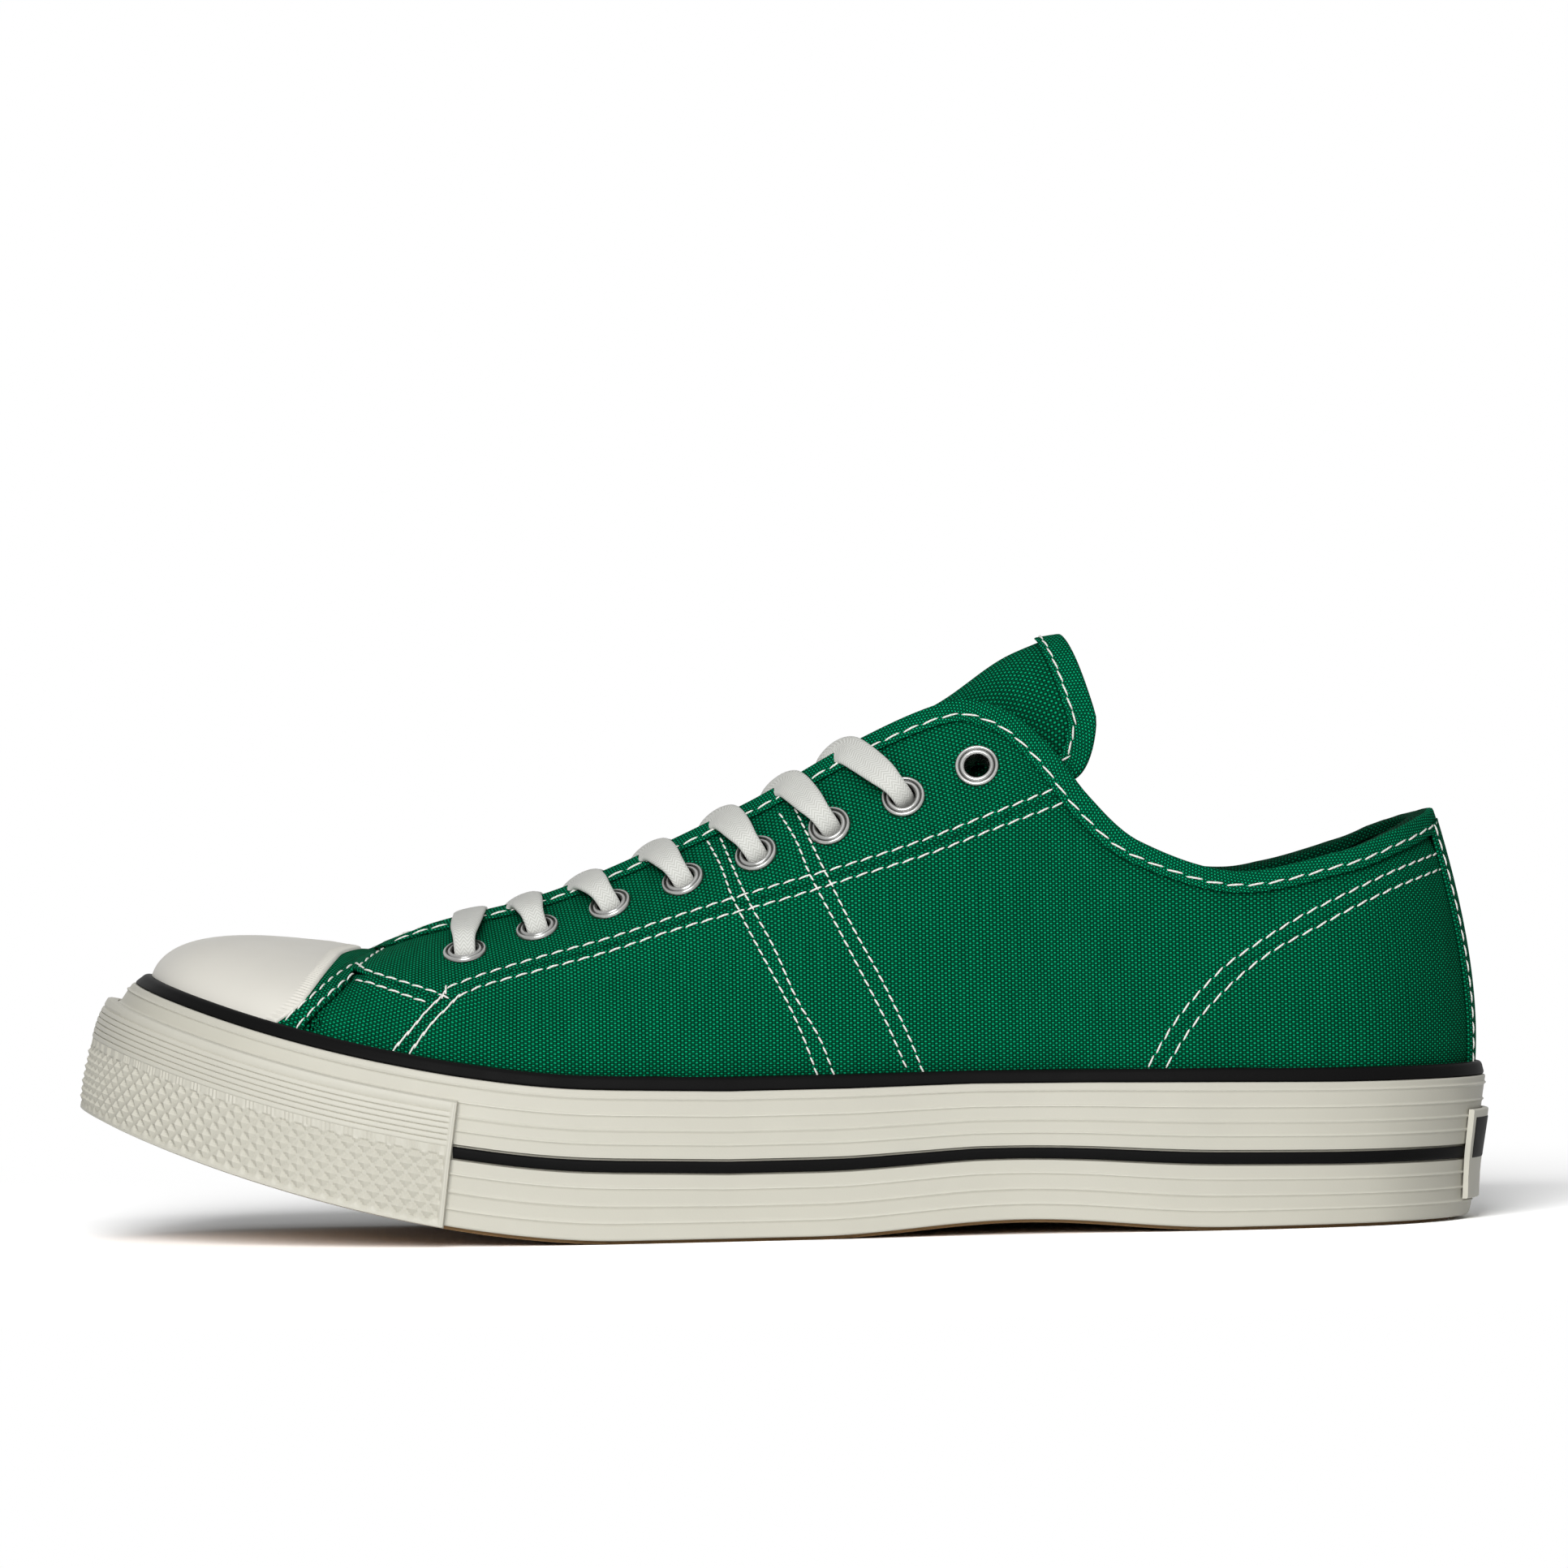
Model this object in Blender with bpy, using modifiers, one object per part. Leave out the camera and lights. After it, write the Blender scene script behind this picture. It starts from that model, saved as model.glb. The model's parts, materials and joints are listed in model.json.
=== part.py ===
"""A low-cut lace-up canvas shoe for the left foot, built piece by piece round one last.

Metres, +Z up. The toe points to -X, the heel to +X and the outer side of the foot to -Y.
The upper is one smooth surface over the last: q runs along the top from toe to heel and
v climbs each section from the sole edge to the top line. Every panel is a stretch of it.
"""

import math

import bmesh
import bpy
import numpy as np
from mathutils import Matrix, Vector

for old in list(bpy.data.objects):
    bpy.data.objects.remove(old, do_unlink=True)

# Fits
CLEARANCE = 0.00035
SEAM_GAP = 0.0004
SOLE_INSET = 0.0012

# Last outline at the sole edge, toe tip to heel back, as (x, y)
TOE_X, TOE_Y = -0.1331, 0.0060
HEEL_X = 0.1450
OUTER_OUTLINE = [(TOE_X, TOE_Y), (TOE_X + 0.0056, -0.0165), (TOE_X + 0.0226, -0.0335), (-0.0800, -0.0440),
                 (-0.0470, -0.0468), (0.0000, -0.0430), (0.0450, -0.0378), (0.0900, -0.0358),
                 (HEEL_X - 0.0220, -0.0290), (HEEL_X - 0.0060, -0.0158), (HEEL_X, 0.0000)]
INNER_OUTLINE = [(TOE_X, TOE_Y), (TOE_X + 0.0041, 0.0238), (TOE_X + 0.0171, 0.0362), (-0.0930, 0.0434),
                 (-0.0620, 0.0455), (-0.0250, 0.0425), (0.0100, 0.0372), (0.0450, 0.0340),
                 (0.0900, 0.0345), (HEEL_X - 0.0220, 0.0286), (HEEL_X - 0.0060, 0.0158), (HEEL_X, 0.0000)]

# Crest over the toe, then the edge of the lacing and the collar, as (x, half gap, z)
TOE_FAN = 0.0365
CREST_START = TOE_X + TOE_FAN
THROAT_X, THROAT_Z = -0.0850, 0.0601
CREST = [(CREST_START - 0.0140, 0.0627), (CREST_START, 0.0618), (THROAT_X, THROAT_Z),
         (THROAT_X + 0.0150, 0.0620)]
TOP_EDGE = [(THROAT_X, 0.0000, THROAT_Z), (THROAT_X + 0.0035, 0.0060, THROAT_Z + 0.0014),
            (-0.0730, 0.0088, 0.0651), (-0.0450, 0.0105, 0.0729), (-0.0070, 0.0130, 0.0897),
            (0.0178, 0.0145, 0.1033), (0.0340, 0.0155, 0.1104), (0.0422, 0.0170, 0.1115),
            (0.0495, 0.0200, 0.1079), (0.0575, 0.0232, 0.0995), (0.0655, 0.0262, 0.0885),
            (0.0755, 0.0285, 0.0798), (0.0960, 0.0300, 0.0726), (0.1177, 0.0265, 0.0756),
            (0.1300, 0.0190, 0.0801), (0.1370, 0.0095, 0.0839), (0.1388, 0.0000, 0.0858)]
CREST_END = TOP_EDGE[-1][0]
TOE_FAN_FROM = -0.0400
HEEL_FAN_FROM = 0.1000
CREST_DRIFT_TO = 0.0200

# Section shape by place along the shoe: lean and length of the wall at the sole edge,
# slope and length of the surface at the top
SECTIONS = [(TOE_X, 2, 0.0085, -5, 0.0270), (-0.1180, -8, 0.0115, -2, 0.0225),
            (-0.0950, -6, 0.0150, 2, 0.0190), (-0.0780, 0, 0.0160, 14, 0.0180),
            (-0.0600, 3, 0.0180, 22, 0.0170), (0.0000, 3, 0.0270, 40, 0.0230),
            (0.0420, 1, 0.0300, 56, 0.0270), (0.0640, 0, 0.0220, 72, 0.0200),
            (0.0960, 0, 0.0140, 80, 0.0130), (HEEL_X, 2, 0.0180, 78, 0.0170)]

# Sole
OUTSOLE_THICKNESS = 0.0050
MIDSOLE_THICKNESS = 0.0070
BOARD_THICKNESS = 0.0015
INSOLE_THICKNESS = 0.0040
FOXING_HEIGHT = 0.0315
FOXING_THICKNESS = 0.0020
FOXING_LIFT = 0.0008
TOE_FLARE = 0.0104
SIDE_FLARE = 0.0015
HEEL_TUCK = 0.0016
FLARE_POWER = 1.8
TOE_SPRING = 0.0285
ROCKER_FROM = -0.0350
ROCKER_LENGTH = 0.1150
ROCKER_POWER = 1.75
ARCH_RISE = 0.0026
ARCH_FROM, ARCH_TO = 0.0050, 0.0950
TOP_LINE_HEIGHT = 0.0026
TOP_LINE_THICKNESS = 0.0017
BUMPER_THICKNESS = 0.0020
BUMPER_HEIGHT = 0.0265
BUMPER_END_X = -0.0700
BUMPER_LIFT = 0.0002
RIB_BOTTOM, RIB_TOP = 0.0166, 0.0241
RIB_COUNT = 6
RIB_DEPTH = 0.0003
PYRAMID_BOTTOM = 0.0014
PYRAMID_WIDTH = 0.0037
PYRAMID_ROW = 0.0017
PYRAMID_ROWS = 8
PYRAMID_PROUD = 0.0007
PYRAMID_SINK = 0.0005
TREAD_FROM, TREAD_TO = -0.1180, 0.1280
TREAD_PITCH = 0.0130
TREAD_GROOVE = 0.0045
TREAD_WALL = 0.0005
TREAD_DEPTH = 0.0012
TREAD_RIM = 0.0050
TREAD_ZIG = 0.0025
STRIPE_BOTTOM, STRIPE_TOP = 0.0140, 0.0169
STRIPE_THICKNESS = 0.0006
STRIPE_PROUD = 0.0002
LABEL_BOTTOM, LABEL_TOP = 0.0055, 0.0245
LABEL_HALF_WIDTH = 0.0125
LABEL_THICKNESS = 0.0013

# Upper
CANVAS_THICKNESS = 0.0009
FACING_THICKNESS = 0.0009
CAP_THICKNESS = 0.0012
STRAP_THICKNESS = 0.0005
LINING_THICKNESS = 0.0007
CAP_EDGE_X = THROAT_X - 0.0040
FACING_TUCK = 0.0030
BINDING_THICKNESS = 0.0005
FACING_RAMP = 0.0025
BINDING_OUTER_WIDTH = 0.0044
BINDING_INNER_WIDTH = 0.0034
THROAT_FLAP = 0.0012
THROAT_BLEND = (0.0010, 0.0050)
THROAT_STEPS = (0, 0.0012, 0.0035, 0.0070, 0.0120)
BACKSTAY_HALF_WIDTH = 0.0070
STIFFENER_HEIGHT = 0.0300
STIFFENER_FROM_X = 0.1000
VAMP_SEAM = [(-0.0850, 0.0360), (-0.0821, 0.0405), (-0.0768, 0.0480), (-0.0728, 0.0520), (-0.0742, 0.0600)]
FACING_SEAM = [(-0.0905, 0.0588), (-0.0707, 0.0528), (-0.0628, 0.0566), (-0.0454, 0.0610),
               (-0.0106, 0.0703), (0.0243, 0.0811), (0.0417, 0.0870), (0.0620, 0.0937)]
COUNTER_SEAM = [(0.0770, 0.0342), (0.0842, 0.0455), (0.0930, 0.0545), (0.1035, 0.0612),
                (0.1140, 0.0668), (0.1280, 0.0735), (0.1400, 0.0775)]
STRAP_CLIMB = (0.02, 0.90)
STRAP_FRONT = [(-0.0138, 0.0845), (-0.0080, 0.0711), (-0.0005, 0.0556), (0.0086, 0.0340)]
STRAP_REAR = [(0.0034, 0.0900), (0.0109, 0.0762), (0.0184, 0.0587), (0.0292, 0.0345)]

# Eyelets and lace
EYELET_COUNT = 8
LACED_COUNT = 7
EYELET_FIRST = (-0.0670, 0.0605)
EYELET_LAST = (0.0424, 0.0985)
EYELET_ROW_SAG = 0.0018
EYELET_BORE = 0.0052
EYELET_WALL = 0.0004
EYELET_FLANGE = 0.0094
EYELET_FLANGE_HEIGHT = 0.0008
EYELET_BACK = 0.0084
EYELET_BACK_SEAT = 0.0010
LACE_WIDTH = 0.0074
LACE_THICKNESS = 0.0020
LACE_BUNCH_WIDTH = 0.0036
LACE_BUNCH_THICKNESS = 0.0018
LACE_ARCH = 0.0024
LACE_SLANT = (0.0, 0.82, 0.67, 0.64, 0.59, 0.47, 0.26)
LACE_RISE = 0.06
LACE_CROSS_LIFT = 0.0019
LACE_TAIL_DROP = 0.0330
LACE_TAIL_INSET = 0.0030
AGLET_LENGTH = 0.0180
AGLET_DIAMETER = 0.0028

# Tongue
TONGUE_THICKNESS = 0.0016
TONGUE_ROOT_X = THROAT_X + 0.0010
TONGUE_ROOT_DEPTH = 0.0052
TONGUE_DEPTH = 0.0074
TONGUE_TUCKED = (-0.0600, -0.0400, -0.0200, 0.0000, 0.0178)
TONGUE_END = [(0.0280, 0.1055), (0.0361, 0.1126), (0.0475, 0.1205), (0.0560, 0.1241), (0.0600, 0.1252)]
TONGUE_HALF_WIDTH = [(-0.0860, 0.0110), (-0.0600, 0.0170), (-0.0200, 0.0180), (0.0178, 0.0172),
                     (0.0450, 0.0163), (0.0600, 0.0165)]
TONGUE_DROP = [(-0.0860, 0.0035), (-0.0600, 0.0085), (-0.0200, 0.0160), (0.0178, 0.0215), (0.0600, 0.0330)]
TONGUE_BEND = 1.35
TONGUE_CORNER = 0.0070
TONGUE_CORNER_SHARE = 0.28
TONGUE_END_LEAN = 0.0085
TONGUE_LEAN_POWER = 0.65
TONGUE_BINDING_WIDTH = 0.0050

# Mesh fineness
SECTION_COUNT = 24
SECTION_APART = 0.0030
CREST_WELD = 0.0020
WALL_ROWS = 6
EYELET_STEPS = 8
LACE_SIDES = 6
LOCATE_ROUNDS = 25
TONGUE_COLUMNS = 11

OUTER, INNER = -1, 1
FACING_OUTSIDE = CLEARANCE + FACING_THICKNESS
CAP_OUTSIDE = CLEARANCE + CAP_THICKNESS
STRAP_OUTSIDE = -CANVAS_THICKNESS - 1.5 * CLEARANCE
LINING_OUTSIDE = STRAP_OUTSIDE - STRAP_THICKNESS - 2 * CLEARANCE
LINING_INSIDE = LINING_OUTSIDE - LINING_THICKNESS
FOXING_INSIDE = CAP_OUTSIDE + CLEARANCE
FOXING_OUTSIDE = FOXING_INSIDE + FOXING_THICKNESS
MIDSOLE_BASE = OUTSOLE_THICKNESS + CLEARANCE
BOARD_BASE = MIDSOLE_BASE + MIDSOLE_THICKNESS + CLEARANCE
INSOLE_BASE = BOARD_BASE + BOARD_THICKNESS + CLEARANCE
SKIRT_DEPTH = FOXING_HEIGHT - BOARD_BASE


def through(points, count, before=None, after=None):
    """A smooth curve through the points, as count samples a span. before and after steer its ends."""
    p = np.array(points, float)
    first = 2 * p[0] - p[1] if before is None else np.array(before, float)
    last = 2 * p[-1] - p[-2] if after is None else np.array(after, float)
    p = np.vstack([first, p, last])
    t = (np.arange(count) / count)[:, None]
    spans = []
    for a, b, c, d in zip(p, p[1:], p[2:], p[3:]):
        chord = np.linalg.norm(c - b)
        leave = chord * (c - a) / (np.linalg.norm(b - a) + chord)
        arrive = chord * (d - b) / (np.linalg.norm(d - c) + chord)
        spans.append((2 * t**3 - 3 * t**2 + 1) * b + (t**3 - 2 * t**2 + t) * leave
                     + (3 * t**2 - 2 * t**3) * c + (t**3 - t**2) * arrive)
    return np.vstack([*spans, p[-2:-1]])


def value_along(points, x, column=1):
    """The named column of a smooth curve through the points, read at x in its first column."""
    curve = through(points, 24)
    return np.interp(x, curve[:, 0], curve[:, column])


def toe_lift(x):
    return TOE_SPRING * (np.clip(ROCKER_FROM - x, 0, None) / ROCKER_LENGTH) ** ROCKER_POWER


def ground(x, height=0.0):
    """Height of the sole's layer at x: the toe springs up whole, and the arch fades to the foxing's top."""
    share = np.clip((x - ARCH_FROM) / (ARCH_TO - ARCH_FROM), 0, 1)
    arch = ARCH_RISE * np.sin(math.pi * share) ** 2 * (1 - height / FOXING_HEIGHT)
    return height + toe_lift(x) + arch


def fan(x):
    """How far back of its foot a section meets the crest: sections spread at the toe and lean at the heel."""
    toe = TOE_FAN * toe_share(x) ** 2
    return toe - (HEEL_X - CREST_END) * heel_share(x) ** 2


def toe_share(x):
    return np.clip((TOE_FAN_FROM - x) / (TOE_FAN_FROM - TOE_X), 0, None)


def heel_share(x):
    return np.clip((x - HEEL_FAN_FROM) / (HEEL_X - HEEL_FAN_FROM), 0, None)


def angle_of(q):
    """A place along the crest as an angle, 0 at the toe and pi at the heel, which stays even at both ends."""
    return np.arccos(np.clip(1 - 2 * (q - CREST_START) / (CREST_END - CREST_START), -1, 1))


def crest_side(x):
    """Sideways place of the crest, which drifts towards the big toe."""
    return TOE_Y * np.clip((CREST_DRIFT_TO - x) / (CREST_DRIFT_TO - TOE_X), 0, 1)


def sole_edge_table(side):
    own, other = (OUTER_OUTLINE, INNER_OUTLINE) if side == OUTER else (INNER_OUTLINE, OUTER_OUTLINE)
    line = through(own, 40, before=other[1], after=other[-2])
    tangent = np.gradient(line, axis=0)
    normal = np.stack([-tangent[:, 1], tangent[:, 0]], 1) * side
    normal /= np.linalg.norm(normal, axis=1)[:, None]
    return angle_of(line[:, 0] + fan(line[:, 0])), line, normal


def top_edge_table(side):
    crest = through(CREST, 40)
    crest = crest[(crest[:, 0] >= CREST_START) & (crest[:, 0] < THROAT_X)]
    edge = through(TOP_EDGE, 40, after=np.multiply(TOP_EDGE[-2], (1, -1, 1)))
    x = np.concatenate([crest[:, 0], edge[:, 0]])
    y = crest_side(x) + side * np.concatenate([np.zeros(len(crest)), edge[:, 1]])
    z = np.concatenate([crest[:, 1], edge[:, 2]])
    return angle_of(x), np.stack([x, y, z], 1)


SOLE_EDGE = {side: sole_edge_table(side) for side in (OUTER, INNER)}
TOP_LINE = {side: top_edge_table(side) for side in (OUTER, INNER)}


def read(table, angle, rows):
    return np.stack([np.interp(angle, table, rows[:, k]) for k in range(rows.shape[1])], -1)


def sole_edge(side, q):
    """Point of the last's outline where section q stands, and the outward direction there, both in plan."""
    angle, line, normal = SOLE_EDGE[side]
    at = angle_of(np.asarray(q, float))
    out = read(angle, at, normal)
    return read(angle, at, line), out / np.linalg.norm(out, axis=-1)[..., None]


def bare_surface(side, q, v):
    q, v = np.broadcast_arrays(np.asarray(q, float), np.asarray(v, float))
    foot, out = sole_edge(side, q)
    angle, top = TOP_LINE[side]
    head = read(angle, angle_of(q), top)
    base = np.concatenate([foot, ground(foot[..., 0], FOXING_HEIGHT)[..., None]], -1)
    lean, rise, slope, reach = (value_along(SECTIONS, foot[..., 0], k)[..., None] for k in (1, 2, 3, 4))
    lean, slope = np.radians(lean), np.radians(slope)
    out = np.concatenate([out, np.zeros(out.shape[:-1] + (1,))], -1)
    away = (base - head) * (1, 1, 0) + out * 1e-6
    away /= np.linalg.norm(away, axis=-1)[..., None]
    up = np.array([0, 0, 1.0])
    first = base + rise * (np.sin(lean) * out + np.cos(lean) * up)
    last = head + reach * (np.cos(slope) * away - np.sin(slope) * up)
    w = np.clip(v, 0, 1)[..., None]
    point = ((1 - w) ** 3 * base + 3 * (1 - w) ** 2 * w * first + 3 * (1 - w) * w**2 * last + w**3 * head)
    x = foot[..., 0]
    drop = ground(x, BOARD_BASE) - ground(x, FOXING_HEIGHT)
    return point - (np.clip(v, -1, 0) * drop)[..., None] * up


def surface_normal(side, q, v):
    q, v = np.broadcast_arrays(np.asarray(q, float), np.asarray(v, float))
    step = (CREST_END - CREST_START) * 1e-4
    q = np.clip(q, CREST_START + 2 * step, CREST_END - 2 * step)
    v = np.clip(v, -1, 0.995)
    along = bare_surface(side, q + step, v) - bare_surface(side, q - step, v)
    climb = bare_surface(side, q, v + 0.004) - bare_surface(side, q, v - 0.004)
    normal = np.cross(climb, along) * side
    return normal / np.linalg.norm(normal, axis=-1)[..., None]


def surface(side, q, v, offset=0.0):
    """Point of the upper at section q and climb v, offset outwards from the canvas face."""
    return bare_surface(side, q, v) + surface_normal(side, q, v) * np.asarray(offset)[..., None]


def locate(side, x, z):
    """Section and climb of the place that the side view shows at x and z."""
    x, z = np.asarray(x, float), np.asarray(z, float)
    q, climb = x.copy(), np.linspace(-0.3, 1, 261)
    for _ in range(LOCATE_ROUNDS):
        heights = bare_surface(side, q[:, None], climb)[..., 2]
        v = np.array([np.interp(height, column, climb) for height, column in zip(z, heights)])
        q = np.clip(q + 0.8 * (x - bare_surface(side, q, v)[..., 0]), CREST_START, CREST_END)
    return q, v


def seam(points):
    """A seam drawn on the side view, as matching sections and climbs."""
    line = through(points, 12)
    return locate(OUTER, line[:, 0], line[:, 1])


def climb_at(seam_line, q):
    order = np.argsort(seam_line[0])
    return np.interp(q, seam_line[0][order], seam_line[1][order])


def section_at(seam_line, v):
    order = np.argsort(seam_line[1])
    return np.interp(v, seam_line[1][order], seam_line[0][order])


def section_at_angle(angle):
    """The reverse of angle_of."""
    return CREST_START + (CREST_END - CREST_START) * (1 - np.cos(angle)) / 2


def all_sections():
    """Sections shared by every panel, even round the toe and heel and closer at the throat."""
    even = section_at_angle(np.linspace(0, math.pi, SECTION_COUNT + 1))
    throat = THROAT_X + np.array(THROAT_STEPS)
    facing_end = FACING_SEAM[-1][0] + np.array([0, FACING_RAMP])
    for stretch in (throat, facing_end):
        even = even[(even < stretch[0] - SECTION_APART / 2) | (even > stretch[-1] + SECTION_APART)]
    return np.sort(np.concatenate([even, throat, facing_end]))


SECTION_LINES = all_sections()


def sections_between(start, end):
    angle, apart = angle_of(SECTION_LINES), 0.1 * math.pi / SECTION_COUNT
    inside = SECTION_LINES[(angle > angle_of(start) + apart) & (angle < angle_of(end) - apart)]
    return np.concatenate([[start], inside, [end]])


# Blender objects
PARTS = bpy.data.collections.new("canvas_shoe")
CUTTERS = bpy.data.collections.new("cutters")
for collection in (PARTS, CUTTERS):
    bpy.context.scene.collection.children.link(collection)


def material(name, colour, roughness, metallic):
    made = bpy.data.materials.new(name)
    made.use_nodes = True
    shader = made.node_tree.nodes["Principled BSDF"]
    shader.inputs["Base Color"].default_value = (*colour, 1)
    shader.inputs["Roughness"].default_value = roughness
    shader.inputs["Metallic"].default_value = metallic
    return made


# Finishes as colour, roughness and metallic value
GREEN_CANVAS = ((0.005, 0.162, 0.074), 0.9, 0.0)
WHITE_RUBBER = ((0.78, 0.77, 0.70), 0.5, 0.0)
BLACK_RUBBER = ((0.012, 0.012, 0.011), 0.5, 0.0)
TAN_RUBBER = ((0.36, 0.21, 0.09), 0.6, 0.0)
WHITE_COTTON = ((0.82, 0.82, 0.77), 0.9, 0.0)
BRIGHT_METAL = ((0.75, 0.75, 0.74), 0.3, 1.0)
GREY_FILLER = ((0.55, 0.54, 0.50), 0.9, 0.0)
CLEAR_TIP = ((0.80, 0.80, 0.78), 0.3, 0.0)


def place(name, mesh, finish, collection=PARTS):
    obj = bpy.data.objects.new(name, mesh)
    mesh.materials.append(material(name, *finish))
    collection.objects.link(obj)
    return obj


def smooth(mesh):
    mesh.shade_smooth()
    mesh.set_sharp_from_angle(angle=math.radians(40))


def grid_mesh(name, points):
    """An open sheet: a grid laid on the points, with its outer face away from the inside of the shoe."""
    rows, columns = points.shape[:2]
    bm = bmesh.new()
    bmesh.ops.create_grid(bm, x_segments=rows - 1, y_segments=columns - 1, size=1)
    for vert in bm.verts:
        i = round((vert.co.x + 1) / 2 * (rows - 1))
        j = round((vert.co.y + 1) / 2 * (columns - 1))
        vert.co = points[i, j]
    bmesh.ops.remove_doubles(bm, verts=bm.verts, dist=1e-6)
    bm.normal_update()
    facing = 0.0
    for face in bm.faces:
        middle = face.calc_center_median()
        x = min(max(middle.x, THROAT_X), HEEL_FAN_FROM)
        inside = Vector((x, 0, ground(middle.x, INSOLE_BASE + INSOLE_THICKNESS)))
        facing += face.normal.dot(middle - inside) * face.calc_area()
    if facing < 0:
        bmesh.ops.reverse_faces(bm, faces=bm.faces)
    mesh = bpy.data.meshes.new(name)
    bm.to_mesh(mesh)
    bm.free()
    smooth(mesh)
    return mesh


def shell(name, points, thickness, finish):
    """A sheet on the points, thickened towards the foot."""
    obj = place(name, grid_mesh(name, points), finish)
    solid = obj.modifiers.new("thickness", "SOLIDIFY")
    solid.thickness = thickness
    solid.offset = -1
    return obj


def loft(name, rings, finish, closed=False, creased=()):
    """A solid swept through like rings of points, capped at its ends unless it closes on itself.

    creased holds (ring, point) places whose vertices are joined across the faces between them.
    """
    bm = bmesh.new()
    loops = [[bm.verts.new(point) for point in ring] for ring in rings]
    size = len(loops[0])
    pairs = list(zip(loops, loops[1:])) + ([(loops[-1], loops[0])] if closed else [])
    for here, there in pairs:
        for k in range(size):
            bm.faces.new((here[k], here[(k + 1) % size], there[(k + 1) % size], there[k]))
    if not closed:
        bm.faces.new(loops[0][::-1])
        bm.faces.new(loops[-1])
    bmesh.ops.connect_verts(bm, verts=[loops[ring][point] for ring, point in creased])
    bmesh.ops.remove_doubles(bm, verts=bm.verts, dist=1e-6)
    bmesh.ops.recalc_face_normals(bm, faces=bm.faces)
    if bm.calc_volume(signed=True) < 0:
        bmesh.ops.reverse_faces(bm, faces=bm.faces)
    mesh = bpy.data.meshes.new(name)
    bm.to_mesh(mesh)
    bm.free()
    smooth(mesh)
    return place(name, mesh, finish)


def cut(obj, cutter):
    hole = obj.modifiers.new("holes", "BOOLEAN")
    hole.operation = "DIFFERENCE"
    hole.solver = "EXACT"
    hole.object = cutter


# Sole
def flare(q):
    """How far the sole's wall steps out at the ground: most at the toe, inwards at the heel."""
    x = sole_edge(OUTER, q)[0][..., 0]
    toe, heel = toe_share(x) ** 2, heel_share(x) ** 2
    return SIDE_FLARE + (TOE_FLARE - SIDE_FLARE) * toe - (HEEL_TUCK + SIDE_FLARE) * heel


def wall(side, q, offset, height, flared=1.0):
    """Point of the sole's wall at section q, offset out from the last's outline, height above the ground."""
    foot, out = sole_edge(side, q)
    step = flared * flare(q) * (1 - np.minimum(height / FOXING_HEIGHT, 1) ** FLARE_POWER)
    plan = foot + out * np.asarray(offset + step)[..., None]
    return np.concatenate([plan, ground(plan[..., 0], height)[..., None]], -1)


def around():
    """Every section of the loop round the sole, outer side from toe to heel and back along the inner side."""
    outer = [(OUTER, q) for q in SECTION_LINES]
    inner = [(INNER, q) for q in SECTION_LINES[-2:0:-1]]
    return outer + inner


def plate(name, offset, flared, base, thickness, finish):
    """A layer of the sole inside the wall: rows across it from the outer to the inner side, then raised."""
    layers = []
    for height in (base, base + thickness):
        left, right = (wall(side, SECTION_LINES, offset, height, flared)[:, None] for side in (OUTER, INNER))
        rows = left + (right - left) * np.linspace(0, 1, 5)[:, None]
        rows[..., 2] = ground(rows[..., 0], height)
        layers.append(rows)
    bottom, top = layers
    mesh = grid_mesh(name, bottom)
    bm = bmesh.new()
    bm.from_mesh(mesh)
    raised = bmesh.ops.extrude_face_region(bm, geom=bm.faces[:])["geom"]
    spots, targets = bottom.reshape(-1, 3), top.reshape(-1, 3)
    for vert in [element for element in raised if isinstance(element, bmesh.types.BMVert)]:
        vert.co = targets[np.argmin(((spots - vert.co) ** 2).sum(1))]
    bmesh.ops.recalc_face_normals(bm, faces=bm.faces)
    if bm.calc_volume(signed=True) < 0:
        bmesh.ops.reverse_faces(bm, faces=bm.faces)
    bm.to_mesh(mesh)
    bm.free()
    smooth(mesh)
    return place(name, mesh, finish)


def tread_sections():
    """Sections of the outsole as (section, depth, zigzag): close together at the walls of each groove."""
    rows = []
    for start in np.arange(TREAD_FROM, TREAD_TO, TREAD_PITCH):
        places = start + np.array([0, TREAD_WALL, TREAD_GROOVE - TREAD_WALL, TREAD_GROOVE])
        depths = (0, TREAD_DEPTH, TREAD_DEPTH, 0)
        rows += [(q, depth, TREAD_ZIG) for q, depth in zip(section_of(places), depths)]
    first, last = section_of(np.array([TREAD_FROM - 2 * TREAD_ZIG, start + TREAD_GROOVE + 2 * TREAD_ZIG]))
    plain = [(q, 0.0, 0.0) for q in SECTION_LINES if q < first or q > last]
    return sorted(rows + plain)


def make_outsole(offset):
    """The tread: zigzag grooves across the sole inside a plain rim."""
    rings = []
    for q, depth, zig in tread_sections():
        left, right = (wall(side, q, offset, 0.0) for side in (OUTER, INNER))
        width = max(np.linalg.norm(right - left), 4 * TREAD_RIM)
        rim, step = TREAD_RIM / width, TREAD_WALL / width
        half = [0, rim, rim + step, (rim + 0.5) / 2]
        share = np.array([*half, 0.5, *(1 - value for value in half[::-1])])
        bottom = left + (right - left) * share[:, None]
        bottom[:, 0] += zig * np.array([0, 0, 0, 1, -1, 1, 0, 0, 0])
        bottom[:, 2] = ground(bottom[:, 0], depth * np.array([0, 0, 1, 1, 1, 1, 1, 0, 0]))
        top = [wall(side, q, offset, OUTSOLE_THICKNESS) for side in (INNER, OUTER)]
        rings.append([*bottom, *top])
    loft("outsole", rings, TAN_RUBBER)


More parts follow.
